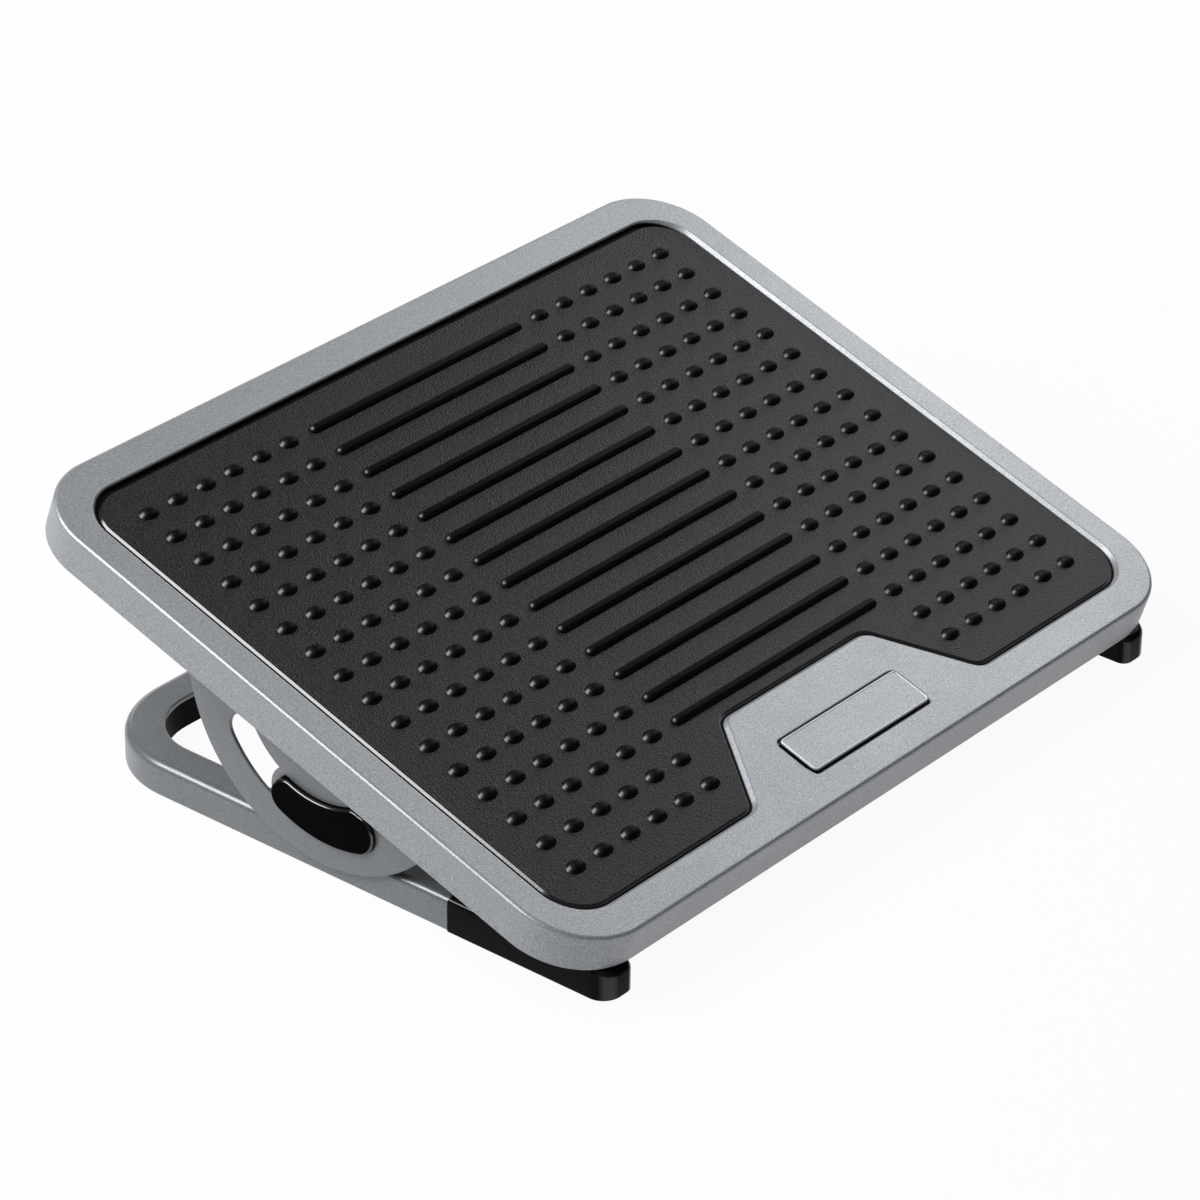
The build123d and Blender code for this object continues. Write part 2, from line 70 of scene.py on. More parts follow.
def on_tray(points):
    """Turns tray points by the tilt about the X axis and lifts them to the tilt axis, in metres:
    y is axis + depth x cos - height x sin, z is axis + depth x sin + height x cos."""
    x, depth, height = np.moveaxis(np.asarray(points, float), -1, 0)
    y = axis_y + depth * np.cos(tilt) - height * np.sin(tilt)
    z = axis_z + depth * np.sin(tilt) + height * np.cos(tilt)
    return np.stack([x, y, z], axis=-1) * MM


def on_base(points):
    """Base points are already level, so they only go from millimetres to metres."""
    return np.asarray(points, float) * MM


print("tilt axis at", round(axis_y, 2), round(axis_z, 2), "mm, tilt", round(np.degrees(tilt), 2))

# %% [markdown]
# ## Outlines
# Most pieces here are a flat outline with rounded corners, given a height and soft edges. A curve with
# a bevel could do that too, but an outline that is an array of evenly spaced points can be matched with
# another one, and moved along its own normals to roll an edge over.

# %% Rounded outlines
ARC_STEPS = 90
quarters = np.array([(1, -1), (1, 1), (-1, 1), (-1, -1)])


def spread(line, count):
    """An open line as count points evenly spaced along it, found by interpolating x and y over the
    running length."""
    length = np.concatenate([[0], np.cumsum(np.linalg.norm(np.diff(line, axis=0), axis=1))])
    at = np.linspace(0, length[-1], count)
    return np.stack([np.interp(at, length, line[:, 0]), np.interp(at, length, line[:, 1])], axis=1)


def even_outline(line, count):
    """A closed line as count evenly spaced points: it is led back to its start and spread, and the
    doubled last point is dropped."""
    return spread(np.vstack([line, line[:1]]), count + 1)[:-1]


def unit(vectors):
    """The vectors at length 1."""
    return vectors / np.linalg.norm(vectors, axis=1, keepdims=True)


def rounded_outline(corners, radii, count):
    """A closed line through the corners, each rounded by an arc that touches both sides: the arc's
    centre lies on the corner's bisector, radius / sin(half the corner's angle) from the corner."""
    corners, radii = np.asarray(corners, float), np.asarray(radii, float)
    back = unit(np.roll(corners, 1, axis=0) - corners)
    ahead = unit(np.roll(corners, -1, axis=0) - corners)
    half = np.arccos(np.clip((back * ahead).sum(axis=1), -1, 1)) / 2
    centre = corners + unit(back + ahead) * (radii / np.sin(half))[:, None]
    first = corners + back * (radii / np.tan(half))[:, None] - centre
    last = corners + ahead * (radii / np.tan(half))[:, None] - centre
    start = np.arctan2(first[:, 1], first[:, 0])
    cross = first[:, 0] * last[:, 1] - first[:, 1] * last[:, 0]
    sweep = np.arctan2(cross, (first * last).sum(axis=1))
    angle = start[:, None] + sweep[:, None] * np.linspace(0, 1, ARC_STEPS)
    arcs = centre[:, None] + radii[:, None, None] * np.stack([np.cos(angle), np.sin(angle)], axis=-1)
    return even_outline(arcs.reshape(-1, 2), count)


rounded_square = rounded_outline(quarters, [0.3] * 4, 80)
print("a rounded square of side 2 measures", np.ptp(rounded_square, axis=0).round(2))

# %% Move outlines and match them
FINE_POINTS = 40000


def moved_out(outline, distance):
    """Moves each point of a counter-clockwise outline along its outward normal, the tangent turned
    a quarter turn to the right. The distance is one number or one a point; a negative one moves in."""
    tangent = unit(np.roll(outline, -1, axis=0) - np.roll(outline, 1, axis=0))
    normal = np.stack([tangent[:, 1], -tangent[:, 0]], axis=1)
    return outline + np.asarray(distance)[..., None] * normal


def same_directions(outline, points, centre):
    """The places where an outline is met in the directions of the points, seen from the centre:
    its distance is interpolated over the angle."""
    fine = even_outline(outline, FINE_POINTS) - centre
    away = points - centre
    wanted = np.arctan2(away[:, 1], away[:, 0])
    angle = np.arctan2(fine[:, 1], fine[:, 0])
    distance = np.interp(wanted, angle, np.hypot(fine[:, 0], fine[:, 1]), period=2 * np.pi)
    return centre + distance[:, None] * np.stack([np.cos(wanted), np.sin(wanted)], axis=1)


def rolled(edge, steps=7):
    """A rolled edge as pairs, from the flat to the wall: how far in from the wall and how far down from
    the flat each step of a quarter circle lies, edge x (1 - sin) and edge x (1 - cos)."""
    angle = np.linspace(0, np.pi / 2, steps)
    return np.stack([edge * (1 - np.sin(angle)), edge * (1 - np.cos(angle))], axis=1)


print("moved out by 0.5 it measures", np.ptp(moved_out(rounded_square, 0.5), axis=0).round(2))

# %% [markdown]
# ## From rings to a mesh
# A ring is an outline with a height for each point. A stack of rings of the same length makes a
# surface: each pair of neighbours is joined by quads. The last ring is closed by a fan to one point or
# runs together on a line. A shape is an array of points with a few arrays of faces, so many shapes are
# put together without touching single points. A piece is a shape with a mesh, a finish and a body to
# ride on: doubled points are merged and the faces turned outwards, so it doesn't matter in which
# direction a stack was listed.

# %% Join rings into shapes
def ring(outline, height):
    """A ring: the outline's two columns and a third with the height, one number or one a point."""
    return np.column_stack([outline, np.broadcast_to(height, len(outline))])


def joined(rings):
    """Points and quads of a stack of rings. Quad (r, i) joins points i and i + 1 of rings r and r + 1,
    and the last point of a ring is joined to its first."""
    rings = np.asarray(rings)
    count = rings.shape[1]
    r, i = np.meshgrid(np.arange(len(rings) - 1), np.arange(count), indexing="ij")
    j = (i + 1) % count
    quads = np.stack([r * count + i, r * count + j, (r + 1) * count + j, (r + 1) * count + i], axis=-1)
    return rings.reshape(-1, 3), [quads.reshape(-1, 4)]


def capped(rings, first=True, last=True):
    """A joined stack whose end rings are closed by fans to their middle points."""
    points, faces = joined(rings)
    count = len(rings[0])
    i = np.arange(count)
    for wanted, start in ((first, 0), (last, len(points) - count)):
        if wanted:
            points = np.vstack([points, points[start:start + count].mean(axis=0)])
            fan = [start + i, start + (i + 1) % count, np.full(count, len(points) - 1)]
            faces.append(np.stack(fan, axis=1))
    return points, faces


def together(*shapes):
    """Several shapes as one: their points one after the other, their faces counted on."""
    points = [shape_points for shape_points, _ in shapes]
    before = np.cumsum([0] + [len(some) for some in points])
    faces = [some + start for (_, arrays), start in zip(shapes, before) for some in arrays]
    return np.vstack(points), faces


print("two square rings make", len(capped([ring(quarters, z) for z in (0, 1)])[0]), "points")

# %% Make shapes into pieces
SHARP_ANGLE = np.radians(38)
DOUBLE = 0.00001
TINY_EDGE = 0.000005


def dressed(name, mesh, body, material, nodes):
    """Puts a mesh into the scene with its material and body, standing for its CAD nodes."""
    mesh.polygons.foreach_set("use_smooth", np.ones(len(mesh.polygons), bool))
    mesh.set_sharp_from_angle(angle=SHARP_ANGLE)
    mesh.materials.append(material)
    made = bpy.data.objects.new(name, mesh)
    bpy.context.scene.collection.objects.link(made)
    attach(made, body)
    if nodes:
        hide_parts(*nodes)
    print(name, len(mesh.polygons), "faces")
    return made


def piece(name, shape, place, body, material, nodes=()):
    """Makes a shape into an object that rides on a body: put in its place, merged, faces outwards."""
    points, faces = shape
    mesh = bpy.data.meshes.new(name)
    mesh.from_pydata(place(points).tolist(), [], [face for some in faces for face in some.tolist()])
    work = bmesh.new()
    work.from_mesh(mesh)
    bmesh.ops.remove_doubles(work, verts=work.verts, dist=DOUBLE)
    bmesh.ops.dissolve_degenerate(work, edges=work.edges, dist=TINY_EDGE)
    bmesh.ops.recalc_face_normals(work, faces=work.faces)
    work.to_mesh(mesh)
    work.free()
    return dressed(name, mesh, body, material, nodes)


print("edges over", round(np.degrees(SHARP_ANGLE)), "degrees stay sharp")

# %% [markdown]
# ## Moulded grey plastic
# The tray is silver-grey plastic with fine pale and dark flakes in it and a satin skin. A moulded skin
# is never a perfect mirror: a very fine noise makes the flakes, a slower one changes the gloss a little
# from place to place, and a small bump gives the spark-eroded grain. All of them read Object
# coordinates, so the grain has its real size on every piece.

# %% Nodes for every finish
def plugged(node, inputs):
    """Fills a node's sockets: the output of another node is linked, a number or a colour is set."""
    for socket, value in inputs.items():
        if isinstance(value, bpy.types.NodeSocket):
            node.id_data.links.new(value, node.inputs[socket])
        else:
            node.inputs[socket].default_value = value
    return node


def new_node(nodes, kind, inputs, **options):
    """A new node of a kind with its options set and its sockets filled."""
    node = nodes.new("ShaderNode" + kind)
    for option, value in options.items():
        setattr(node, option, value)
    return plugged(node, inputs)


def new_material(name):
    """An empty node material: its nodes, its shader and the Object coordinates of its piece."""
    material = bpy.data.materials.new(name)
    material.use_nodes = True
    nodes = material.node_tree.nodes
    return material, nodes, nodes["Principled BSDF"], new_node(nodes, "TexCoord", {}).outputs["Object"]


def noise(nodes, where, size, detail=2.0, roughness=0.5):
    """A noise whose waves are about size metres long."""
    inputs = {"Vector": where, "Scale": 1 / size, "Detail": detail, "Roughness": roughness}
    return new_node(nodes, "TexNoise", inputs).outputs["Fac"]


def between(nodes, value, low, high):
    """Maps a noise's usual range, 0.3 to 0.7, to a range of roughness."""
    inputs = {"Value": value, "From Min": 0.3, "From Max": 0.7, "To Min": low, "To Max": high}
    return new_node(nodes, "MapRange", inputs).outputs["Result"]


def grain(nodes, value, strength, depth):
    """A bump from a value: depth is the height in metres of its full range."""
    inputs = {"Height": value, "Strength": strength, "Distance": depth}
    return new_node(nodes, "Bump", inputs).outputs["Normal"]


print("finishes for", len(frame["nodes"]), "solids")

# %% Colours and ramps
def colour(red, green, blue):
    """A colour given in screen values of 0 to 255 as the linear values that a shader wants."""
    screen = np.array([red, green, blue]) / 255
    linear = np.where(screen <= 0.04045, screen / 12.92, ((screen + 0.055) / 1.055) ** 2.4)
    return (*linear.tolist(), 1.0)


def ramp(nodes, value, stops):
    """A colour ramp through the stops, each a position and a colour."""
    made = new_node(nodes, "ValToRGB", {"Fac": value})
    marks = made.color_ramp.elements
    while len(marks) < len(stops):
        marks.new(0.5)
    for mark, (position, tint) in zip(marks, stops):
        mark.position = position
        mark.color = tint
    return made.outputs["Color"]


def tinted(nodes, value, positions, *tints):
    """A ramp through tints in screen values, one at each position."""
    return ramp(nodes, value, [(at, colour(*tint)) for at, tint in zip(positions, tints)])


print("screen grey 128 is", round(colour(128, 128, 128)[0], 3), "in a shader")

# %% The satin plastic
FLAKE_SIZE = 0.0006
FLAKE_STOPS = (0.33, 0.5, 0.68)
FLAKE_METAL = 0.45
CLOUD_SIZE = 0.03
SATIN_GRAIN = (0.12, 0.00004)


def satin_plastic(name, dark, middle, light, rough):
    """Speckled silver plastic: flakes from a fine noise through three tints, cloudy gloss, fine grain.
    The flakes are metal, so part of the light is mirrored in the colour of the plastic."""
    material, nodes, shader, where = new_material(name)
    flakes = noise(nodes, where, FLAKE_SIZE, detail=3.0, roughness=0.7)
    clouds = noise(nodes, where, CLOUD_SIZE, detail=3.0)
    plugged(shader, {
        "Metallic": FLAKE_METAL, "Base Color": tinted(nodes, flakes, FLAKE_STOPS, dark, middle, light),
        "Roughness": between(nodes, clouds, *rough), "Normal": grain(nodes, flakes, *SATIN_GRAIN)})
    return material


tray_plastic = satin_plastic(
    "tray_plastic", (121, 124, 128), (148, 151, 155), (178, 180, 184), rough=(0.38, 0.42))
print("made", tray_plastic.name)

# %% [markdown]
# ## The tray
# The real tray is one moulding: a flat rim round the mat's opening, a rounded outer edge, a slightly
# flared skirt and a floor under the mat. A box could be cut and bevelled into it, but every cut through
# the tray shows the same section, so the section is carried round. Its inner part follows the opening,
# with a notch round the badge panel, and its outer part follows the tray's outline; points in the same
# direction from the middle belong together.

# %% The tray's two outlines
TRAY_HALF = np.array([225.0, 176.0])
TRAY_CORNER = 38.0
OPENING_HALF = np.array([208.0, 157.0])
OPENING_CORNER = 22.0
NOTCH_BACK = (52.5, -109.0)
NOTCH_FRONT = 85.0
NOTCH_CORNER = 10.0
AROUND = 1200

notch = [
    (-NOTCH_FRONT, -OPENING_HALF[1]), (-NOTCH_BACK[0], NOTCH_BACK[1]),
    NOTCH_BACK, (NOTCH_FRONT, -OPENING_HALF[1])]
opening = rounded_outline(
    np.vstack([quarters * OPENING_HALF, notch]), [OPENING_CORNER] * 4 + [NOTCH_CORNER] * 4, AROUND)
tray_edge = rounded_outline(quarters * TRAY_HALF, [TRAY_CORNER] * 4, AROUND)


def opening_ring(distance, height):
    """A ring beside the mat's opening, so far outside it."""
    return ring(moved_out(opening, distance), height)


def edge_ring(distance, height):
    """A ring beside the tray's outer edge, at the directions of the opening's points."""
    return ring(same_directions(moved_out(tray_edge, distance), opening, np.zeros(2)), height)


print("opening", np.ptp(opening, axis=0).round(1), "tray", np.ptp(tray_edge, axis=0).round(1))

# %% [markdown]
# The rim's inner edge is a chamfer that catches the light as a bright band. It is narrow along the
# rear, so its size follows the square of the normal's rearward part, which is 1 at the rear only.

# %% The lip round the opening
RIM_TOP = 2.4
FLOOR_TOP = -1.6
FLOOR_REACH = 6.0
LIP = 1.8
REAR_LIP = 0.6
LIP_STEPS = [(0, 1.08), (0.05, 0.95), (0.12, 0.88), (0.88, 0.12), (0.95, 0.05), (1.08, 0), (1.3, 0)]

rearward = (moved_out(opening, 1) - opening)[:, 1].clip(0) ** 2
lip = LIP + (REAR_LIP - LIP) * rearward
inner_rings = [opening_ring(-FLOOR_REACH, FLOOR_TOP), opening_ring(0, FLOOR_TOP)]
inner_rings += [opening_ring(lip * out, RIM_TOP - lip * down) for out, down in LIP_STEPS]
print("lip of", lip.max().round(2), "mm, at the rear", lip.min().round(2))

# %% The tray's section, carried round
RIM_EDGE = 2.0
SKIRT_BOTTOM = -17.1
SKIRT_DRAFT = np.radians(1.0)
SKIRT_TRIM = 0.06
SKIRT_EDGE = 0.6
WALL = 3.0
FLOOR_BELOW = -4.6
BESIDE = 0.2
HAIR = 0.01

# A ring BESIDE a rolled edge keeps the flat flat, and SKIRT_TRIM keeps the flare inside the solid's
flare = np.tan(SKIRT_DRAFT) * (RIM_TOP - SKIRT_BOTTOM) - SKIRT_TRIM
outer_rings = [edge_ring(-RIM_EDGE - BESIDE, RIM_TOP)]
outer_rings += [edge_ring(-inward, RIM_TOP - down) for inward, down in rolled(RIM_EDGE)]
outer_rings += [
    edge_ring(HAIR, RIM_TOP - RIM_EDGE - BESIDE),
    edge_ring(flare - HAIR, SKIRT_BOTTOM + SKIRT_EDGE + BESIDE)]
outer_rings += [edge_ring(flare - inward, SKIRT_BOTTOM + up) for inward, up in rolled(SKIRT_EDGE)[::-1]]
outer_rings += [
    edge_ring(-WALL, SKIRT_BOTTOM), edge_ring(-WALL, RIM_TOP - WALL), opening_ring(WALL, RIM_TOP - WALL),
    opening_ring(WALL, FLOOR_BELOW), opening_ring(-FLOOR_REACH, FLOOR_BELOW)]
print("section of", len(inner_rings) + len(outer_rings), "rings")

# %% [markdown]
# The badge lies in a shallow pocket of the front panel. A pocket can't be part of a section that goes
# round the tray, so the panel's flat strip is left out there, and the gap is filled by a patch that
# runs from the strip's border to the pocket's edge, again matched by direction.

# %% The front panel with the badge pocket
BADGE_SIZE = np.array([86.0, 23.0])
BADGE_CORNER = 2.5
BADGE_MIDDLE = np.array([0.0, -146.5])
BADGE_GAP = 1.0
POCKET_DEPTH = 2.0
POCKET_EDGE = 0.9
POCKET_BESIDE = 0.1
POCKET_FLOOR_REACH = 4.0
POCKET_POINTS = 400
PANEL_HALF = 88.0
PANEL_BACK = NOTCH_BACK[1] + 5

strip_in, strip_out = inner_rings[-1], outer_rings[0]
panel = (np.abs(opening[:, 0]) < PANEL_HALF) & (opening[:, 1] < PANEL_BACK)
panel_first = np.flatnonzero(panel & ~np.roll(panel, 1))[0]
panel_points = (panel_first + np.arange(panel.sum())) % AROUND
border = np.vstack([strip_in[panel_points], strip_out[panel_points[::-1]]])
pocket_line = rounded_outline(
    BADGE_MIDDLE + quarters * (BADGE_SIZE / 2 + BADGE_GAP), [BADGE_CORNER + BADGE_GAP] * 4, POCKET_POINTS)


def pocket_ring(distance, height):
    """A ring beside the pocket's edge, at the directions of the panel's border."""
    return ring(same_directions(moved_out(pocket_line, distance), border[:, :2], BADGE_MIDDLE), height)


pocket_rings = [border, pocket_ring(POCKET_EDGE + POCKET_BESIDE, RIM_TOP)]
pocket_rings += [pocket_ring(outward, RIM_TOP - down) for outward, down in rolled(POCKET_EDGE)]
pocket_rings += [pocket_ring(-inward, RIM_TOP - POCKET_DEPTH) for inward in (0, POCKET_FLOOR_REACH)]

strip_points, (strip_quads,) = joined([strip_in, strip_out])
kept = np.ones(AROUND, bool)
kept[panel_points[:-1]] = False
strip = strip_points, [strip_quads[kept]]
print("panel patch of", len(border), "points round the pocket")

# %% [markdown]
# Under the floor the real tray has a grid of ribs, like most mouldings of this size, and short posts
# that take the bracket screws. A rib is a thin strip: its lower edge rises where a bracket's tab lies.

# %% Ribs below the tray
RIB_HALF = 1.0
RIB_ROOT = FLOOR_TOP - 1
RIB_BOTTOM = -16.1
RIB_LIFTED = -12.4
RIB_COLUMNS = np.arange(-4, 5) * 44.4
RIB_ROWS = np.arange(-3, 4) * 43.25
COLUMN_HALF = 173.0
ROW_HALF = 222.0
TAB_POCKET_X = np.array([178.5, 212.0])
TAB_POCKET_DEPTH = 84.8
RISE = 0.01


def rib(along, bottom, across, is_row):
    """A strip: its section, a rectangle from the floor to the given bottom, carried along a line."""
    n = len(along)
    sides = np.array([-RIB_HALF, RIB_HALF, RIB_HALF, -RIB_HALF]) + across
    heights = np.stack([np.full(n, RIB_ROOT), np.full(n, RIB_ROOT), bottom, bottom], axis=1)
    lengths = np.repeat(along[:, None], 4, axis=1)
    widths = np.broadcast_to(sides, (n, 4))
    section = [lengths, widths, heights] if is_row else [widths, lengths, heights]
    return capped(np.stack(section, axis=-1))


pocket_in, pocket_out = TAB_POCKET_X
half_row = np.array([pocket_in - RISE, pocket_in, pocket_out, pocket_out + RISE, ROW_HALF])
row_line = np.concatenate([-half_row[::-1], half_row])
in_pocket = np.isin(np.abs(row_line), TAB_POCKET_X)
column_line = np.array([-COLUMN_HALF, COLUMN_HALF])
ribs = [rib(column_line, np.full(2, RIB_BOTTOM), x, False) for x in RIB_COLUMNS]
ribs += [
    rib(row_line, np.where(in_pocket & (abs(y) < TAB_POCKET_DEPTH), RIB_LIFTED, RIB_BOTTOM), y, True)
    for y in RIB_ROWS]
print(len(ribs), "ribs")

# %% Screw posts, and the whole tray
POST_X = 194.0
POST_ROWS = (-66.0, -28.0, 28.0, 66.0)
POST_HALF = 4.0
POST_CORNER = 1.0
POST_BOTTOM = -12.55
POST_POINTS = 48

post_line = rounded_outline(quarters * POST_HALF, [POST_CORNER] * 4, POST_POINTS)
posts = [
    capped([ring(post_line + (x, y), height) for height in (RIB_ROOT, POST_BOTTOM)])
    for x in (-POST_X, POST_X) for y in POST_ROWS]
tray_skin = together(
    capped(inner_rings, last=False), strip, capped(pocket_rings, first=False),
    capped(outer_rings, first=False), *ribs, *posts)
piece("tray", tray_skin, on_tray, "tray", tray_plastic, ["tray_shell"])

# %% [markdown]
# ## Rubber for the mat
# The mat is charcoal rubber with a leather-like grain, moulded from an etched tool. Worn cells of a
# Voronoi pattern, broken by a finer noise, give such a grain. The bumps are the same rubber with a
# slightly smoother skin, dark with a painted highlight: their shine is kept to the side that faces the
# left lamp, so no white floor is mirrored round a bump, and their tops and the ridges stay painted
# black. The edge of the mat's field is polished.

# %% Shine by direction
# Half way between the left lamp and the camera: a shine kept towards it is a painted highlight.
LAMP_SIDE = (-0.713, -0.112, 0.692)


def facing_shine(nodes, shader, face, stops):
    """Shine by how far the surface faces a direction: the part of the normal along it, without its
    sign, goes from 0 across it to 1 along it, and the stops give the shine between. Their mean stays on
    the socket, for programs that can't follow the nodes, and is all that an even shine needs."""
    shines = [shine for _, shine in stops]
    plugged(shader, {"Specular IOR Level": np.mean(shines)})
    if len(set(shines)) > 1:
        normal = new_node(nodes, "TexCoord", {}).outputs["Normal"]
        along = new_node(nodes, "VectorMath", {0: normal, 1: face}, operation="DOT_PRODUCT").outputs["Value"]
        size = new_node(nodes, "Math", {0: along}, operation="ABSOLUTE").outputs[0]
        much = ramp(nodes, size, [(at, (shine, shine, shine, 1)) for at, shine in stops])
        plugged(shader, {"Specular IOR Level": much})


print("the lamp's side is", LAMP_SIDE)

# %% Grained and polished rubber
LEATHER_SIZE = 0.0009
LEATHER_BREAK = LEATHER_SIZE * 0.8
LEATHER_STOPS = (0.4, 0.66)
LEATHER_STRENGTH = 0.5


def grained_rubber(name, dark, light, rough, depth, shine):
    """Rubber with an etched grain: rounded cells in the bump, a fine noise in colour and gloss. The
    shine is given by its stops towards the lamp's side, where a shine that rises is a painted highlight."""
    material, nodes, shader, where = new_material(name)
    cells = new_node(nodes, "TexVoronoi", {"Vector": where, "Scale": 1 / LEATHER_SIZE}).outputs["Distance"]
    fine = noise(nodes, where, LEATHER_BREAK, detail=3.0, roughness=0.7)
    plugged(shader, {
        "Base Color": tinted(nodes, fine, LEATHER_STOPS, dark, light),
        "Roughness": between(nodes, fine, *rough), "Normal": grain(nodes, cells, LEATHER_STRENGTH, depth)})
    facing_shine(nodes, shader, LAMP_SIDE, shine)
    return material


mat_rubber = grained_rubber(
    "mat_rubber", (2, 2, 3), (46, 46, 47), rough=(0.38, 0.46), depth=0.00036, shine=[(0, 0.22)])
# A painted highlight: shine 0.58 only where the surface faces the lamp's side and 0.03 elsewhere, which
# keeps the tops of the bumps and the ridges painted black.
bump_painted_shine = grained_rubber(
    "bump_painted_shine", (8, 8, 9), (16, 16, 17), rough=(0.34, 0.4), depth=0.00002,
    shine=[(0.74, 0.03), (0.96, 0.58)])
edge_rubber = grained_rubber(
    "edge_rubber", (8, 8, 9), (14, 14, 15), rough=(0.16, 0.22), depth=0.00002, shine=[(0, 1.0)])
# Near black, rough and hardly shiny: painted shade for the deep groove.
groove_shade_rubber = grained_rubber(
    "groove_shade_rubber", (4, 4, 5), (10, 10, 11), rough=(0.5, 0.6), depth=0.00005, shine=[(0, 0.05)])
print("made", mat_rubber.name, bump_painted_shine.name, edge_rubber.name, groove_shade_rubber.name)

# %% [markdown]
# ## The foot mat
# The mat's raised field stands in the opening with a narrow groove round it. The groove is wider at the
# rear, and there the mat's thin flange is turned up over the rim's wall, a near-black sheet that paints
# the shade on that wall. The field's edge is a polished bevel at 45 degrees, which draws the fine bright
# line beside the rim, and the groove's near-black rubber is painted shade. Each finish is a piece here:
# a stack or a loop of rings beside the opening.

# %% The mat's field and its edge
MAT_GAP = 0.3
GROOVE = 0.8
REAR_GROOVE = 2.6
FLANGE_TOP = 0.0
FIELD_TOP = FLANGE_TOP + 1.4
EDGE_WIDTH = 1.1
FIELD_SIDE = [
    (0, FLOOR_TOP), (0, FIELD_TOP - 0.1), (0.03, FIELD_TOP - 0.03), (0.1, FIELD_TOP), (0.5, FIELD_TOP)]
FIELD_EDGE = [
    (0, -0.1), (0, 0.28), (0.04, 0.36), (0.1, 0.43), (0.9, 1.23), (0.96, 1.29), (1.05, 1.36), (1.2, 1.395),
    (1.5, 1.395), (1.5, -0.1), (0, -0.1)]

foot_of_field = MAT_GAP + GROOVE + (REAR_GROOVE - GROOVE) * rearward
field_rings = [opening_ring(-foot_of_field - EDGE_WIDTH - inward, height) for inward, height in FIELD_SIDE]
piece("mat_sheet", capped(field_rings), on_tray, "tray", mat_rubber, ["foot_mat"])
edge_loop = [opening_ring(-foot_of_field - inward, FLANGE_TOP + up) for inward, up in FIELD_EDGE]
piece("mat_edge", joined(edge_loop), on_tray, "tray", edge_rubber)

# %% The flange in the groove
FLANGE_LIFT = 0.1
SHADE_WALL_UP = RIM_TOP - REAR_LIP - 0.3
TURNED_WALL = 0.5
TURNED_FOOT = 0.6
UNDER_FIELD = 0.3

# At the rear the flange is turned up the rim's wall, a near-black sheet that paints the shade on that wall.
shade_wall_top = FLANGE_TOP + FLANGE_LIFT + SHADE_WALL_UP * rearward
flange_end = foot_of_field + UNDER_FIELD
shade_flange_loop = [
    opening_ring(-inward, height) for inward, height in (
        (MAT_GAP, FLOOR_TOP), (MAT_GAP, shade_wall_top), (MAT_GAP + TURNED_WALL, shade_wall_top),
        (MAT_GAP + TURNED_FOOT, FLANGE_TOP), (flange_end, FLANGE_TOP), (flange_end, FLOOR_TOP),
        (MAT_GAP, FLOOR_TOP))]
piece("mat_shade_flange", joined(shade_flange_loop), on_tray, "tray", groove_shade_rubber)

# %% [markdown]
# Six columns of bumps stand at each side. One bump is a small oval dome, a stack of shrinking ellipses,
# and because all 192 are alike, adding the array of places to the array of its points makes them all
# at once.

# %% The bumps
BUMP_COLUMNS = 89.75 + 18.62 * np.arange(6)
BUMP_ROWS = 133.8 - 17.84 * np.arange(16)
BUMP_TURN = 14
BUMP_HALF = np.array([5.3, 3.7])
BUMP_STEPS = [(1.08, -0.1), (0.98, 0.3), (0.88, 1.0), (0.7, 1.7), (0.4, 2.15)]
BUMP_TOP = 2.3

turn = np.arange(BUMP_TURN) * 2 * np.pi / BUMP_TURN
circle = np.stack([np.cos(turn), np.sin(turn)], axis=1)
one_bump = [ring(circle * BUMP_HALF * share, FIELD_TOP + up) for share, up in BUMP_STEPS]
bump_points, bump_faces = capped(one_bump, first=False)
bump_points[-1, 2] = FIELD_TOP + BUMP_TOP
side, column, row = np.meshgrid([-1, 1], BUMP_COLUMNS, BUMP_ROWS, indexing="ij")
places = np.stack([side * column, row, np.zeros_like(row)], axis=-1).reshape(-1, 1, 3)
bumps = together(*[(points, bump_faces) for points in places + bump_points])
piece("mat_bumps", bumps, on_tray, "tray", bump_painted_shine)

# %% [markdown]
# Between the bumps, cross ridges massage the soles. A ridge is a half-round bar: a half ellipse carried
# across the mat, whose size falls to nothing over the last millimetres, so its ends are domed.

# %% The cross ridges
RIDGE_HALF = 75.0
RIDGE_WIDTH = 5.6
RIDGE_HEIGHT = 2.5
RIDGE_SUNK = 0.1
RIDGE_ROWS = BUMP_ROWS[:14]
RIDGE_END = 3.0

end_turn = np.linspace(0.02, 1, 8) * np.pi / 2
ends = RIDGE_HALF - RIDGE_END * (1 - np.sin(end_turn)[::-1])
ridge_x = np.concatenate([-ends, ends[::-1]])
into_end = ((np.abs(ridge_x) - RIDGE_HALF + RIDGE_END) / RIDGE_END).clip(0)
ridge_size = np.sqrt(np.clip(1 - into_end ** 2, 0, 1))
arch = np.linspace(0, np.pi, 11)


def ridge(row):
    """A bar: half width x cos and height x sin of the arch's angle, shrunk towards the ends."""
    x = np.repeat(ridge_x[:, None], len(arch), axis=1)
    y = row + RIDGE_WIDTH / 2 * ridge_size[:, None] * np.cos(arch)
    z = FIELD_TOP - RIDGE_SUNK + RIDGE_HEIGHT * ridge_size[:, None] * np.sin(arch)
    return joined(np.stack([x, y, z], axis=-1))


piece("mat_ridges", together(*map(ridge, RIDGE_ROWS)), on_tray, "tray", bump_painted_shine)

# %% [markdown]
# ## The badge plate
# A small bare plate lies in its pocket, a little proud of the panel: a black body with a silver face. A
# thin raised border on the face is near white, a painted highlight that draws the bright line round it,
# and the body's black side paints the shade of the pocket's gap as a black line towards the front. All
# three are rings of one rounded rectangle.

# %% Black plastic
GLOSS_SIZE = 0.012
FINE_SIZE = 0.0007
FINE_STOPS = (0.3, 0.7)
BLACK_GRAIN = (0.05, 0.00003)
EDGE_BAND = (0.08, 0.4, 0.74, 0.9)


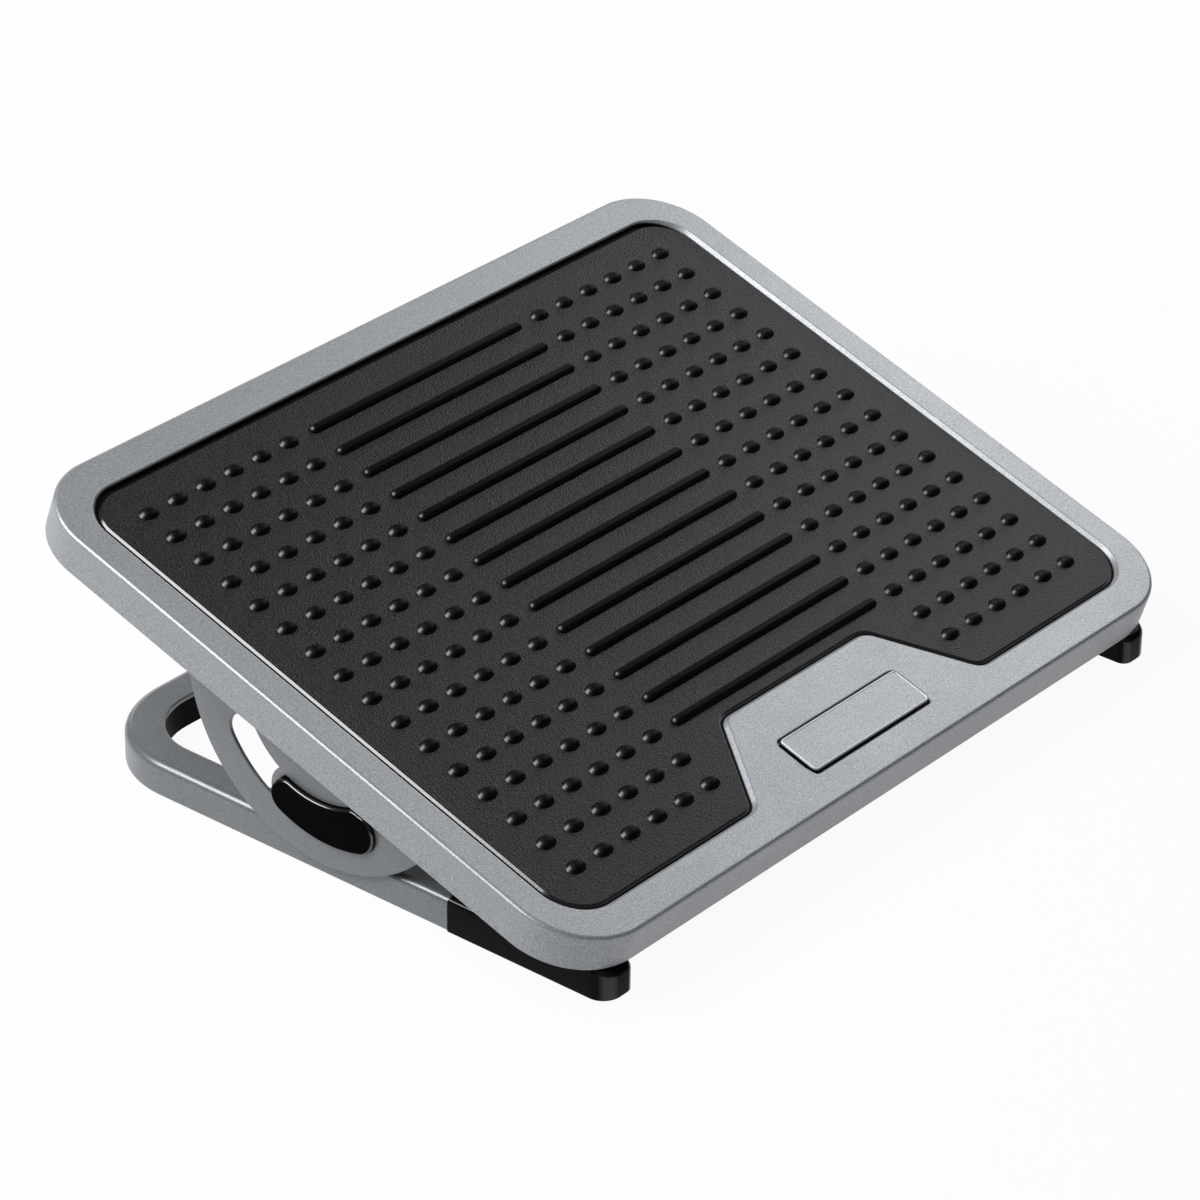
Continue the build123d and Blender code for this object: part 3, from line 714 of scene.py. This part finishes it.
def black_plastic(name, dark, light, rough, face, shine, edge):
    """Black moulded plastic: nearly even colour, a gloss that changes softly from place to place, and
    a shine of their own for the rolled edges round a face."""
    material, nodes, shader, where = new_material(name)
    clouds = noise(nodes, where, GLOSS_SIZE, detail=4.0)
    fine = noise(nodes, where, FINE_SIZE)
    plugged(shader, {
        "Base Color": tinted(nodes, fine, FINE_STOPS, dark, light),
        "Roughness": between(nodes, clouds, *rough), "Normal": grain(nodes, fine, *BLACK_GRAIN)})
    facing_shine(nodes, shader, face, list(zip(EDGE_BAND, (shine, edge, edge, shine))))
    return material


# Black of the badge's body, which also paints the shade of the pocket's gap in front of it.
badge_shade_black = black_plastic(
    "badge_shade_black", (8, 8, 9), (14, 14, 15), rough=(0.3, 0.4), face=(0, 0, 1), shine=0.15, edge=0.15)
print("made", badge_shade_black.name)

# %% The plate's face
BADGE_TOP = RIM_TOP + 1.1
BADGE_EDGE = 0.4
BADGE_BESIDE = 0.1
BADGE_FACE = 0.45
BADGE_POINTS = 360

badge_line = rounded_outline(BADGE_MIDDLE + quarters * BADGE_SIZE / 2, [BADGE_CORNER] * 4, BADGE_POINTS)
badge_rings = [ring(badge_line, BADGE_TOP - BADGE_FACE)]
badge_rings += [
    ring(moved_out(badge_line, -inward), BADGE_TOP - down) for inward, down in rolled(BADGE_EDGE)[::-1]]
badge_rings += [ring(moved_out(badge_line, -BADGE_EDGE - BADGE_BESIDE), BADGE_TOP)]
badge_plastic = satin_plastic(
    "badge_plastic", (121, 124, 128), (148, 151, 155), (172, 174, 178), rough=(0.36, 0.4))
piece("badge_face", capped(badge_rings), on_tray, "tray", badge_plastic, ["badge_plate"])

# %% The plate's border and body
BORDER = 0.32
BORDER_IN = 0.75
BORDER_STEPS = 7

border_rings = [
    ring(moved_out(badge_line, -BORDER_IN - BORDER * np.cos(a)), BADGE_TOP + BORDER * np.sin(a))
    for a in np.linspace(0, np.pi, BORDER_STEPS)]
# Near-white silver, much lighter than the face: the bright line round the plate is a painted highlight.
border_painted_highlight = satin_plastic(
    "border_painted_highlight", (205, 207, 209), (226, 228, 230), (240, 241, 242), rough=(0.3, 0.36))
piece("badge_border", joined(border_rings), on_tray, "tray", border_painted_highlight)
badge_body = [ring(badge_line, RIM_TOP - POCKET_DEPTH), ring(badge_line, BADGE_TOP - BADGE_FACE)]
piece("badge_body", capped(badge_body), on_tray, "tray", badge_shade_black)

# %% [markdown]
# ## The tilt brackets
# Each bracket is a half disc of sheet, painted grey, with a curved slot and a tab folded in under the
# tray. A boolean could cut the slot, but it would leave long thin faces. Here the face is a flat ring
# between the slot's outline and the disc's outline; each side of the slot is matched with the stretch
# of the disc that lies nearest to it. Both edges are slightly rounded.

# %% Outlines of slot and half disc
SLOT_RADIUS = 55.25
SLOT_HALF_WIDTH = 16.7 / 2
GUIDE_HALF_ANGLE = np.radians(21.4)
BRACKET_RADIUS = 80.3
TAB_TOP = -12.6
SIDE_STEPS = 150
END_STEPS = 50
RISE_STEPS = 60
MIRRORED = np.array([-1, 1])

slot_half_angle = GUIDE_HALF_ANGLE + tilt


def hanging(radius, angle):
    """Points of an arc about the tilt axis, with angles counted from straight down: depth is
    radius x sin, height is -radius x cos."""
    return radius * np.stack([np.sin(angle), -np.cos(angle)], axis=-1)


def kidney(half_angle, half_width):
    """A curved slot about the tilt axis, hanging straight down: an outer arc, a round end, an inner arc
    and a round end, counter-clockwise, as depth and height."""
    arc = np.linspace(-half_angle, half_angle, SIDE_STEPS)
    end = np.linspace(0, np.pi, END_STEPS)[1:-1]
    far = hanging(SLOT_RADIUS + half_width, arc)
    near = hanging(SLOT_RADIUS - half_width, arc)[::-1]
    right = hanging(SLOT_RADIUS, half_angle) + hanging(half_width, half_angle + end)
    return np.vstack([far, right, near, right[::-1] * MIRRORED])


def half_disc(half_angle):
    """The bracket's outline with a point for each of the slot's: the arc below the slot, the rest of
    the arc with half of the straight top, the top's middle, and the other side."""
    low = hanging(BRACKET_RADIUS, np.linspace(-half_angle, half_angle, SIDE_STEPS))
    rise = np.linspace(half_angle, np.arccos(-TAB_TOP / BRACKET_RADIUS), RISE_STEPS)
    top = -TAB_TOP * np.tan(half_angle)
    right = spread(np.vstack([hanging(BRACKET_RADIUS, rise), [(top, TAB_TOP)]]), END_STEPS)[1:-1]
    straight = np.stack([np.linspace(top, -top, SIDE_STEPS), np.full(SIDE_STEPS, TAB_TOP)], axis=1)
    return np.vstack([low, right, straight, right[::-1] * MIRRORED])


slot_line = kidney(slot_half_angle, SLOT_HALF_WIDTH)
disc_line = half_disc(slot_half_angle)
print("slot and disc have", len(slot_line), len(disc_line), "points")

# %% Plates with rolled edges
SHEET_STEPS = 4
SLAB_POINTS = 120


def upright_ring(outline, x):
    """A ring in a plane across the footrest: the outline's columns are depth and height."""
    return np.column_stack([np.broadcast_to(x, len(outline)), outline])


def ring_plate(outer, inner, face, back, edge):
    """A plate between two outlines, from its outer to its back face, with both edges rolled over: each
    is a quarter circle from the side wall to the flat."""
    way = np.sign(face - back)

    def edge_of(outline, side, plane, into):
        return [
            upright_ring(moved_out(outline, side * inward), plane + into * down)
            for inward, down in rolled(edge, SHEET_STEPS)]

    loop = edge_of(inner, 1, face, -way)[::-1] + edge_of(outer, -1, face, -way)
    loop += edge_of(outer, -1, back, way)[::-1] + edge_of(inner, 1, back, way)
    return joined(loop + loop[:1])


def slab(low, high, edge):
    """A rounded plate lying flat: a rounded rectangle with its upper and lower edges rolled over."""
    low, high = np.asarray(low, float), np.asarray(high, float)
    half, centre = (high - low)[:2] / 2, (high + low)[:2] / 2
    line = rounded_outline(centre + quarters * half, [2 * edge + 0.5] * 4, SLAB_POINTS)
    steps = rolled(edge, SHEET_STEPS)
    under = [ring(moved_out(line, -inward), low[2] + up) for inward, up in steps]
    over = [ring(moved_out(line, -inward), high[2] - down) for inward, down in steps]
    return capped(under + over[::-1])


print("a slab has", len(slab((0, 0, 0), (40, 20, 2), 0.3)[0]), "points")

# %% The painted brackets
BRACKET_FACE = 207.5
SHEET = 2.0
SHEET_EDGE = 0.35
TAB_IN = 24.0
TAB_FOLD = 0.6
TAB_EDGE = 0.3
TAB_HALF_LENGTH = 78.0
SIDES = (("left", -1), ("right", 1))

# A grey darker than the tray's: painted shade for the brackets' place below the tray.
bracket_shaded_paint = satin_plastic(
    "bracket_shaded_paint", (102, 105, 109), (119, 122, 126), (136, 139, 143), rough=(0.36, 0.41))
for name, way in SIDES:
    plate = ring_plate(disc_line, slot_line, way * BRACKET_FACE, way * (BRACKET_FACE - SHEET), SHEET_EDGE)
    low_x, high_x = sorted([way * (BRACKET_FACE - TAB_IN), way * (BRACKET_FACE - TAB_FOLD)])
    tab = slab((low_x, -TAB_HALF_LENGTH, TAB_TOP - SHEET), (high_x, TAB_HALF_LENGTH, TAB_TOP), TAB_EDGE)
    piece(f"{name}_bracket", together(plate, tab), on_tray, "tray", bracket_shaded_paint,
          [f"{name}_tilt_bracket"])

# %% [markdown]
# ## Guide blocks and friction pads
# A glossy black kidney-shaped block stands in each slot and carries the tray. Its head lies over the
# slot's lower edge and is wider towards the front. The block is a stack of rings that ends on its own
# centre arc, slightly domed. Behind the bracket lies a flat pad of the same outline, a few millimetres
# larger, with a window for the block.

# %% Outlines of the guide block and its head
GUIDE_EDGE = 1.8
GUIDE_CLEARANCE = 0.3
HEAD_OVER = (1.5, 6.0)
HEAD_START = 0.6

guide_half_width = SLOT_HALF_WIDTH - GUIDE_CLEARANCE
guide_line = kidney(GUIDE_HALF_ANGLE, guide_half_width)
angle = np.arctan2(guide_line[:, 0], -guide_line[:, 1]).clip(-GUIDE_HALF_ANGLE, GUIDE_HALF_ANGLE)
guide_spine = hanging(SLOT_RADIUS, angle)
below = ((np.hypot(*guide_line.T) - SLOT_RADIUS) / SLOT_HALF_WIDTH + HEAD_START).clip(0) / (1 + HEAD_START)
over = np.interp(-angle, [-GUIDE_HALF_ANGLE, GUIDE_HALF_ANGLE], HEAD_OVER) * below
head_line = guide_line + over[:, None] * unit(guide_line - guide_spine)
guide_top = moved_out(head_line, -GUIDE_EDGE)
print("the head lies over the block by up to", over.max().round(1), "mm")

# %% The guide blocks
GUIDE_FACE = 210.5
GUIDE_BACK = 203.0
GUIDE_NECK = 207.8
GUIDE_DOME = 0.35
DOME_STEPS = (0.08, 0.3, 0.6, 1.0)


def level(points):
    """Base pieces about the tilt axis: depth and height are counted from it, without the tilt."""
    return on_base(points + np.array([0, axis_y, axis_z]))


guide_black = black_plastic(
    "guide_black", (9, 9, 10), (14, 15, 15), rough=(0.1, 0.16), face=(1, 0, 0), shine=0.0, edge=1.0)
for name, way in SIDES:
    rings = [upright_ring(line, way * GUIDE_BACK) for line in (guide_spine, guide_line)]
    rings += [upright_ring(line, way * GUIDE_NECK) for line in (guide_line, head_line)]
    rings += [
        upright_ring(moved_out(head_line, -inward), way * (GUIDE_FACE - GUIDE_DOME - down))
        for inward, down in rolled(GUIDE_EDGE)[::-1]]
    rings += [
        upright_ring(guide_top + (guide_spine - guide_top) * f,
                     way * (GUIDE_FACE - GUIDE_DOME * (1 - f) ** 2))
        for f in DOME_STEPS]
    piece(f"{name}_guide", joined(rings), level, "base", guide_black,
          [f"{name}_guide_block"])

# %% The friction pads
PAD_FACE = 205.2
PAD_BACK = 203.0
PAD_EDGE = 0.3
PAD_MARGIN = 4.5
PAD_WINDOW_GAP = 0.15

pad_plastic = satin_plastic(
    "pad_plastic", (112, 114, 118), (132, 134, 138), (150, 152, 156), rough=(0.42, 0.52))
pad_inner = kidney(GUIDE_HALF_ANGLE, guide_half_width + PAD_WINDOW_GAP)
pad_outer = kidney(GUIDE_HALF_ANGLE, guide_half_width + PAD_MARGIN)
for name, way in SIDES:
    pad = ring_plate(pad_outer, pad_inner, way * PAD_FACE, way * PAD_BACK, PAD_EDGE)
    piece(f"{name}_pad", pad, level, "base", pad_plastic, [f"{name}_friction_pad"])

# %% [markdown]
# ## The base
# A grey angle-section cover lies over a black channel. The cover is a profile carried along a U-shaped
# path: at each point of the path the profile's first number goes outwards along the path's normal and
# its second number upwards. A curve with a bevel object could do it too, but would leave the ends open.

# %% The path of the base
BASE_HALF = 205.0
BASE_REAR = axis_y + 156.3
BASE_CORNER = 52.5
CORNER_STEPS = 40
RAIL_STEP = 2.5
SEAM = axis_y - 72.0


def base_path():
    """The base's outer line from the left seam round the rear to the right seam, with its outward
    normals: straight, quarter circle, straight, quarter circle, straight."""
    turn = np.linspace(0, np.pi / 2, CORNER_STEPS)
    corner = np.array([BASE_HALF - BASE_CORNER, BASE_REAR - BASE_CORNER])
    right_normal = np.stack([np.cos(turn), np.sin(turn)], axis=1)
    rail = np.arange(SEAM, corner[1], RAIL_STEP)
    rail = np.stack([np.full(len(rail), BASE_HALF), rail], axis=1)
    half = np.vstack([rail, corner + BASE_CORNER * right_normal])
    normal = np.vstack([np.tile([1.0, 0.0], (len(rail), 1)), right_normal])
    return np.vstack([half * MIRRORED, half[::-1]]), np.vstack([normal * MIRRORED, normal[::-1]])


base_line, base_normal = base_path()
print("path of", len(base_line), "points")

# %% The grey cover
RAIL_WIDTH = 19.0
RAIL_TOP = 17.0
RAIL_EDGE = 4.0
RAIL_INNER_EDGE = 0.8
COVER_WALL = 2.2
COVER_GAP = 0.6
COVER_POINTS = 170


def carried(profile, path, normal):
    """A closed profile carried along an open path and closed at both ends."""
    out = path[:, None] + profile[None, :, :1] * normal[:, None]
    up = np.broadcast_to(profile[:, 1], out.shape[:2])
    points, faces = joined(np.concatenate([out, up[..., None]], axis=-1))
    end = np.arange(len(profile))[None]
    return points, faces + [end, end + len(points) - len(profile)]


cover_corners = [
    (0, COVER_GAP), (0, RAIL_TOP), (-RAIL_WIDTH, RAIL_TOP), (-RAIL_WIDTH, RAIL_TOP - COVER_WALL),
    (-COVER_WALL, RAIL_TOP - COVER_WALL), (-COVER_WALL, COVER_GAP)]
cover_radii = [0.4, RAIL_EDGE, RAIL_INNER_EDGE, 0.2, 0.3, 0.4]
cover_profile = rounded_outline(cover_corners, cover_radii, COVER_POINTS)
# A grey darker than the tray's: painted shade for the cover's place under the tray.
cover_plastic = satin_plastic(
    "cover_plastic", (100, 103, 106), (117, 120, 123), (136, 139, 142), rough=(0.27, 0.33))
cover_shape = carried(cover_profile, base_line, base_normal)
piece("cover", cover_shape, on_base, "base", cover_plastic, ["base_cover"])

# %% [markdown]
# The channel under the cover, the uprights on it and the rear feet are already right in the solids,
# and only their edges are too crisp. Such a piece is a copy of its solid: the loose triangles are
# merged, shaded smooth, and a fine bevel takes the edges off.

# %% The channel, the uprights and the rear feet
SOLID_DOUBLE = 0.000002
FLAT_ANGLE = np.radians(0.5)
BEVEL_ANGLE = np.radians(40)
MOULDED_BEVEL = 0.3
RUBBER_BEVEL = 0.4


def softened(name, node, body, material, width):
    """A merged copy of a CAD node with a fine bevel on its sharp edges."""
    mesh = frame["nodes"][node].data.copy()
    mesh.name = name
    mesh.materials.clear()
    work = bmesh.new()
    work.from_mesh(mesh)
    bmesh.ops.remove_doubles(work, verts=work.verts, dist=SOLID_DOUBLE)
    bmesh.ops.dissolve_limit(work, angle_limit=FLAT_ANGLE, verts=work.verts, edges=work.edges)
    work.to_mesh(mesh)
    work.free()
    made = dressed(name, mesh, body, material, [node])
    bevel = made.modifiers.new("soft edges", "BEVEL")
    bevel.width = width * MM
    bevel.segments = 2
    bevel.limit_method = "ANGLE"
    bevel.angle_limit = BEVEL_ANGLE


core_black = black_plastic(
    "core_black", (6, 6, 7), (11, 11, 12), rough=(0.4, 0.5), face=(0, 0, 1), shine=0.02, edge=0.2)
foot_rubber = grained_rubber(
    "foot_rubber", (20, 20, 21), (32, 32, 33), rough=(0.4, 0.55), depth=0.00006, shine=[(0, 0.5)])
softened("channel", "base_core", "base", core_black, MOULDED_BEVEL)
for name, _ in SIDES:
    softened(f"{name}_post", f"{name}_upright", "base", pad_plastic, MOULDED_BEVEL)
    softened(f"{name}_foot", f"{name}_rear_foot", "base", foot_rubber, RUBBER_BEVEL)

# %% [markdown]
# ## The front boots
# A satin black rubber boot closes each front end of the base. It is a stack of rings again: sole, wall
# and a rolled top edge. Towards its nose the top slopes down under the tray, so every ring of the top
# is lowered there by the same amount, and the last ring runs together on the boot's centre line.

# %% The plan of a boot and its slope
BOOT_OVER = 0.4
BOOT_FRONT = axis_y - 163.7
BOOT_TOP = RAIL_TOP + BOOT_OVER
BOOT_CLEARANCE = 0.6
BOOT_POINTS = 420
NOSE_OUT = 9.5
NOSE_IN = 5.0
SEAM_CORNER = 0.8
SPINE_ENDS = (BOOT_FRONT + 9, SEAM - 5)

outside, inside = BASE_HALF + BOOT_OVER, BASE_HALF - RAIL_WIDTH - BOOT_OVER
boot_corners = [(outside, BOOT_FRONT), (outside, SEAM), (inside, SEAM), (inside, BOOT_FRONT)]
boot_plan = rounded_outline(boot_corners, [NOSE_OUT, SEAM_CORNER, SEAM_CORNER, NOSE_IN], BOOT_POINTS)
boot_spine = np.column_stack([
    np.full(BOOT_POINTS, (outside + inside) / 2), boot_plan[:, 1].clip(*SPINE_ENDS)])


def sloped_ring(outline, height):
    """A ring lowered by as much as the boot's own top stands above a plane parallel to the tray's
    skirt, just below it."""
    y = outline[:, 1]
    plane = axis_z + (y - axis_y) * np.tan(tilt) + (SKIRT_BOTTOM - BOOT_CLEARANCE) / np.cos(tilt)
    return ring(outline, height - (BOOT_TOP - plane).clip(0))


print("boot plan", np.ptp(boot_plan, axis=0).round(1), "mm")

# %% The boots
BOOT_EDGE = 2.5
BOOT_SOLE_EDGE = 0.7
BOOT_STEPS = 9
BOOT_TOP_STEPS = (0.05, 0.35, 0.7, 1.0)


def boot(way):
    """A boot: rings from the middle of the sole, round its edge, up the wall, over the rolled top edge
    and along the sloping top to the centre line."""
    rings = [ring(boot_spine, 0.0)]
    rings += [ring(moved_out(boot_plan, -inward), up) for inward, up in rolled(BOOT_SOLE_EDGE, BOOT_STEPS)]
    rings += [
        sloped_ring(moved_out(boot_plan, -inward), BOOT_TOP - down)
        for inward, down in rolled(BOOT_EDGE, BOOT_STEPS)[::-1]]
    top = moved_out(boot_plan, -BOOT_EDGE)
    rings += [sloped_ring(top + (boot_spine - top) * f, BOOT_TOP) for f in BOOT_TOP_STEPS]
    points, faces = joined(rings)
    return points * np.array([way, 1, 1]), faces


boot_rubber = black_plastic(
    "boot_rubber", (8, 8, 9), (12, 12, 13), rough=(0.18, 0.26), face=(1, 0, 0), shine=0.05, edge=0.45)
for name, way in SIDES:
    piece(f"{name}_boot", boot(way), on_base, "base", boot_rubber, [f"{name}_front_boot"])

# %% [markdown]
# ## Screws
# The screws are zinc-plated steel. They are all inside, so their solids stay as they are, and only get
# a metal finish whose colour and gloss are broken by a fine noise.

# %% Zinc on the screws
ZINC_SIZE = 0.0006


def zinc(name, dark, light, rough):
    """Plated steel: a metal between two tints, with more and less gloss from the same fine noise."""
    material, nodes, shader, where = new_material(name)
    fine = noise(nodes, where, ZINC_SIZE, detail=3.0)
    plugged(shader, {
        "Metallic": 1.0, "Base Color": tinted(nodes, fine, FINE_STOPS, dark, light),
        "Roughness": between(nodes, fine, *rough)})
    return material


screw_zinc = zinc("screw_zinc", (150, 151, 150), (186, 187, 184), rough=(0.25, 0.4))
for node in ("bracket_screws", "guide_screws", "upright_screws", "boot_screws"):
    mesh = frame["nodes"][node].data
    mesh.materials.clear()
    mesh.materials.append(screw_zinc)
print("screws dressed")

# %% [markdown]
# ## Floor and studio
# The footrest stands on a white floor in a white studio. The floor shows itself as plain white to the
# camera, mixed with its real shading, so a light shadow stays under the footrest. Stronger lamps could
# make it white too, but they would bleach the footrest.

# %% White paint for the floor
FLOOR_PAINT = (208, 208, 208)


def white_stage(name, share):
    """White paint that looks plain white where it is seen directly or in a reflection: an emission of
    strength 1 by that share for camera, glossy and transmission rays, and paint for all the rest."""
    material, nodes, shader, _ = new_material(name)
    plugged(shader, {"Base Color": colour(*FLOOR_PAINT), "Roughness": 0.9, "Specular IOR Level": 0.0})
    light = new_node(nodes, "Emission", {"Strength": 1.0}).outputs["Emission"]
    path = new_node(nodes, "LightPath", {}).outputs
    seen = path["Is Camera Ray"]
    for kind in ("Is Glossy Ray", "Is Transmission Ray"):
        seen = new_node(nodes, "Math", {0: seen, 1: path[kind]}, operation="MAXIMUM").outputs[0]
    shared = new_node(nodes, "Math", {0: seen, 1: share}, operation="MULTIPLY").outputs[0]
    mix = new_node(nodes, "MixShader", {"Fac": shared, 1: shader.outputs["BSDF"], 2: light})
    plugged(nodes["Material Output"], {"Surface": mix.outputs["Shader"]})
    return material


floor_white = white_stage("floor_white", share=0.94)
print("made", floor_white.name)

# %% The floor and the sky
FLOOR_HALF = 6.0
FLOOR_HEIGHT = -0.0002
WORLD_STRENGTH = 0.12
WORLD_TINT = (0.96, 0.98, 1.0, 1.0)

floor_corners = np.column_stack([quarters * FLOOR_HALF, np.full(4, FLOOR_HEIGHT)])
floor_mesh = bpy.data.meshes.new("floor")
floor_mesh.from_pydata(floor_corners.tolist(), [], [[0, 1, 2, 3]])
floor_mesh.materials.append(floor_white)
floor = bpy.data.objects.new("floor", floor_mesh)
bpy.context.scene.collection.objects.link(floor)

world = bpy.data.worlds.new("studio")
bpy.context.scene.world = world
world.use_nodes = True
sky = world.node_tree.nodes
fill = plugged(sky["Background"], {"Color": WORLD_TINT, "Strength": WORLD_STRENGTH}).outputs[0]
backdrop = new_node(sky, "Background", {"Color": (1, 1, 1, 1), "Strength": 1.0}).outputs[0]
seen = new_node(sky, "LightPath", {}).outputs["Is Camera Ray"]
choose = new_node(sky, "MixShader", {"Fac": seen, 1: fill, 2: backdrop})
plugged(sky["World Output"], {"Surface": choose.outputs["Shader"]})
print("floor of", 2 * FLOOR_HALF, "m in a white studio")

# %% [markdown]
# ## Light and camera
# A large soft lamp on the left draws the bright lines along the left edges, and the front stays a
# little darker. A smaller one on the right lifts the right rim and the badge panel, and a wide low one
# is mirrored by the edges at the back.

# %% The lamps
TARGET = Vector((0.0, 0.0, 0.07))


def lamp(name, direction, distance, width, height, power):
    """A soft lamp of that width and height, so far from the footrest in a direction, facing it."""
    light = bpy.data.lights.new(name, "AREA")
    light.shape = "RECTANGLE"
    light.size = width
    light.size_y = height
    light.energy = power
    made = bpy.data.objects.new(name, light)
    bpy.context.scene.collection.objects.link(made)
    way = Vector(direction).normalized()
    made.location = TARGET + way * distance
    made.rotation_euler = (-way).to_track_quat("-Z", "Y").to_euler()
    print(name, power, "W")


lamp("left_sheet", (-0.58, 0.36, 0.73), distance=1.7, width=1.3, height=1.1, power=41)
lamp("right_sheet", (0.77, 0.05, 0.63), distance=1.5, width=0.75, height=0.75, power=5.6)
lamp("rear_sheet", (0.78, 0.58, 0.22), distance=1.6, width=2.2, height=0.5, power=7.0)

# %% The camera
CAMERA_FROM_AXIS = Vector((-1654.3, -1354.4, 1156.1))
CAMERA_AZIMUTH = np.radians(-50.446)
CAMERA_ELEVATION = np.radians(29.058)
CAMERA_ROLL = np.radians(0.67)
SENSOR = 36.0
LENS_PIXELS = 5200.0
FRAME_PIXELS = 1200.0

back = Vector((
    np.sin(CAMERA_AZIMUTH) * np.cos(CAMERA_ELEVATION),
    -np.cos(CAMERA_AZIMUTH) * np.cos(CAMERA_ELEVATION), np.sin(CAMERA_ELEVATION)))
level_right = (-back).cross(Vector((0, 0, 1))).normalized()
level_up = back.cross(level_right)
right = level_right * np.cos(CAMERA_ROLL) + level_up * np.sin(CAMERA_ROLL)
up = level_up * np.cos(CAMERA_ROLL) - level_right * np.sin(CAMERA_ROLL)
camera_place = (Vector((0, axis_y, axis_z)) + CAMERA_FROM_AXIS) * MM
photo_camera = bpy.data.cameras.new("photo")
photo_camera.sensor_width = SENSOR
photo_camera.lens = SENSOR * LENS_PIXELS / FRAME_PIXELS
camera = bpy.data.objects.new("photo", photo_camera)
camera.matrix_world = Matrix.Translation(camera_place) @ Matrix((right, up, back)).transposed().to_4x4()
bpy.context.scene.collection.objects.link(camera)
bpy.context.scene.camera = camera
bpy.context.scene.view_settings.view_transform = "Standard"
print("lens", photo_camera.lens)
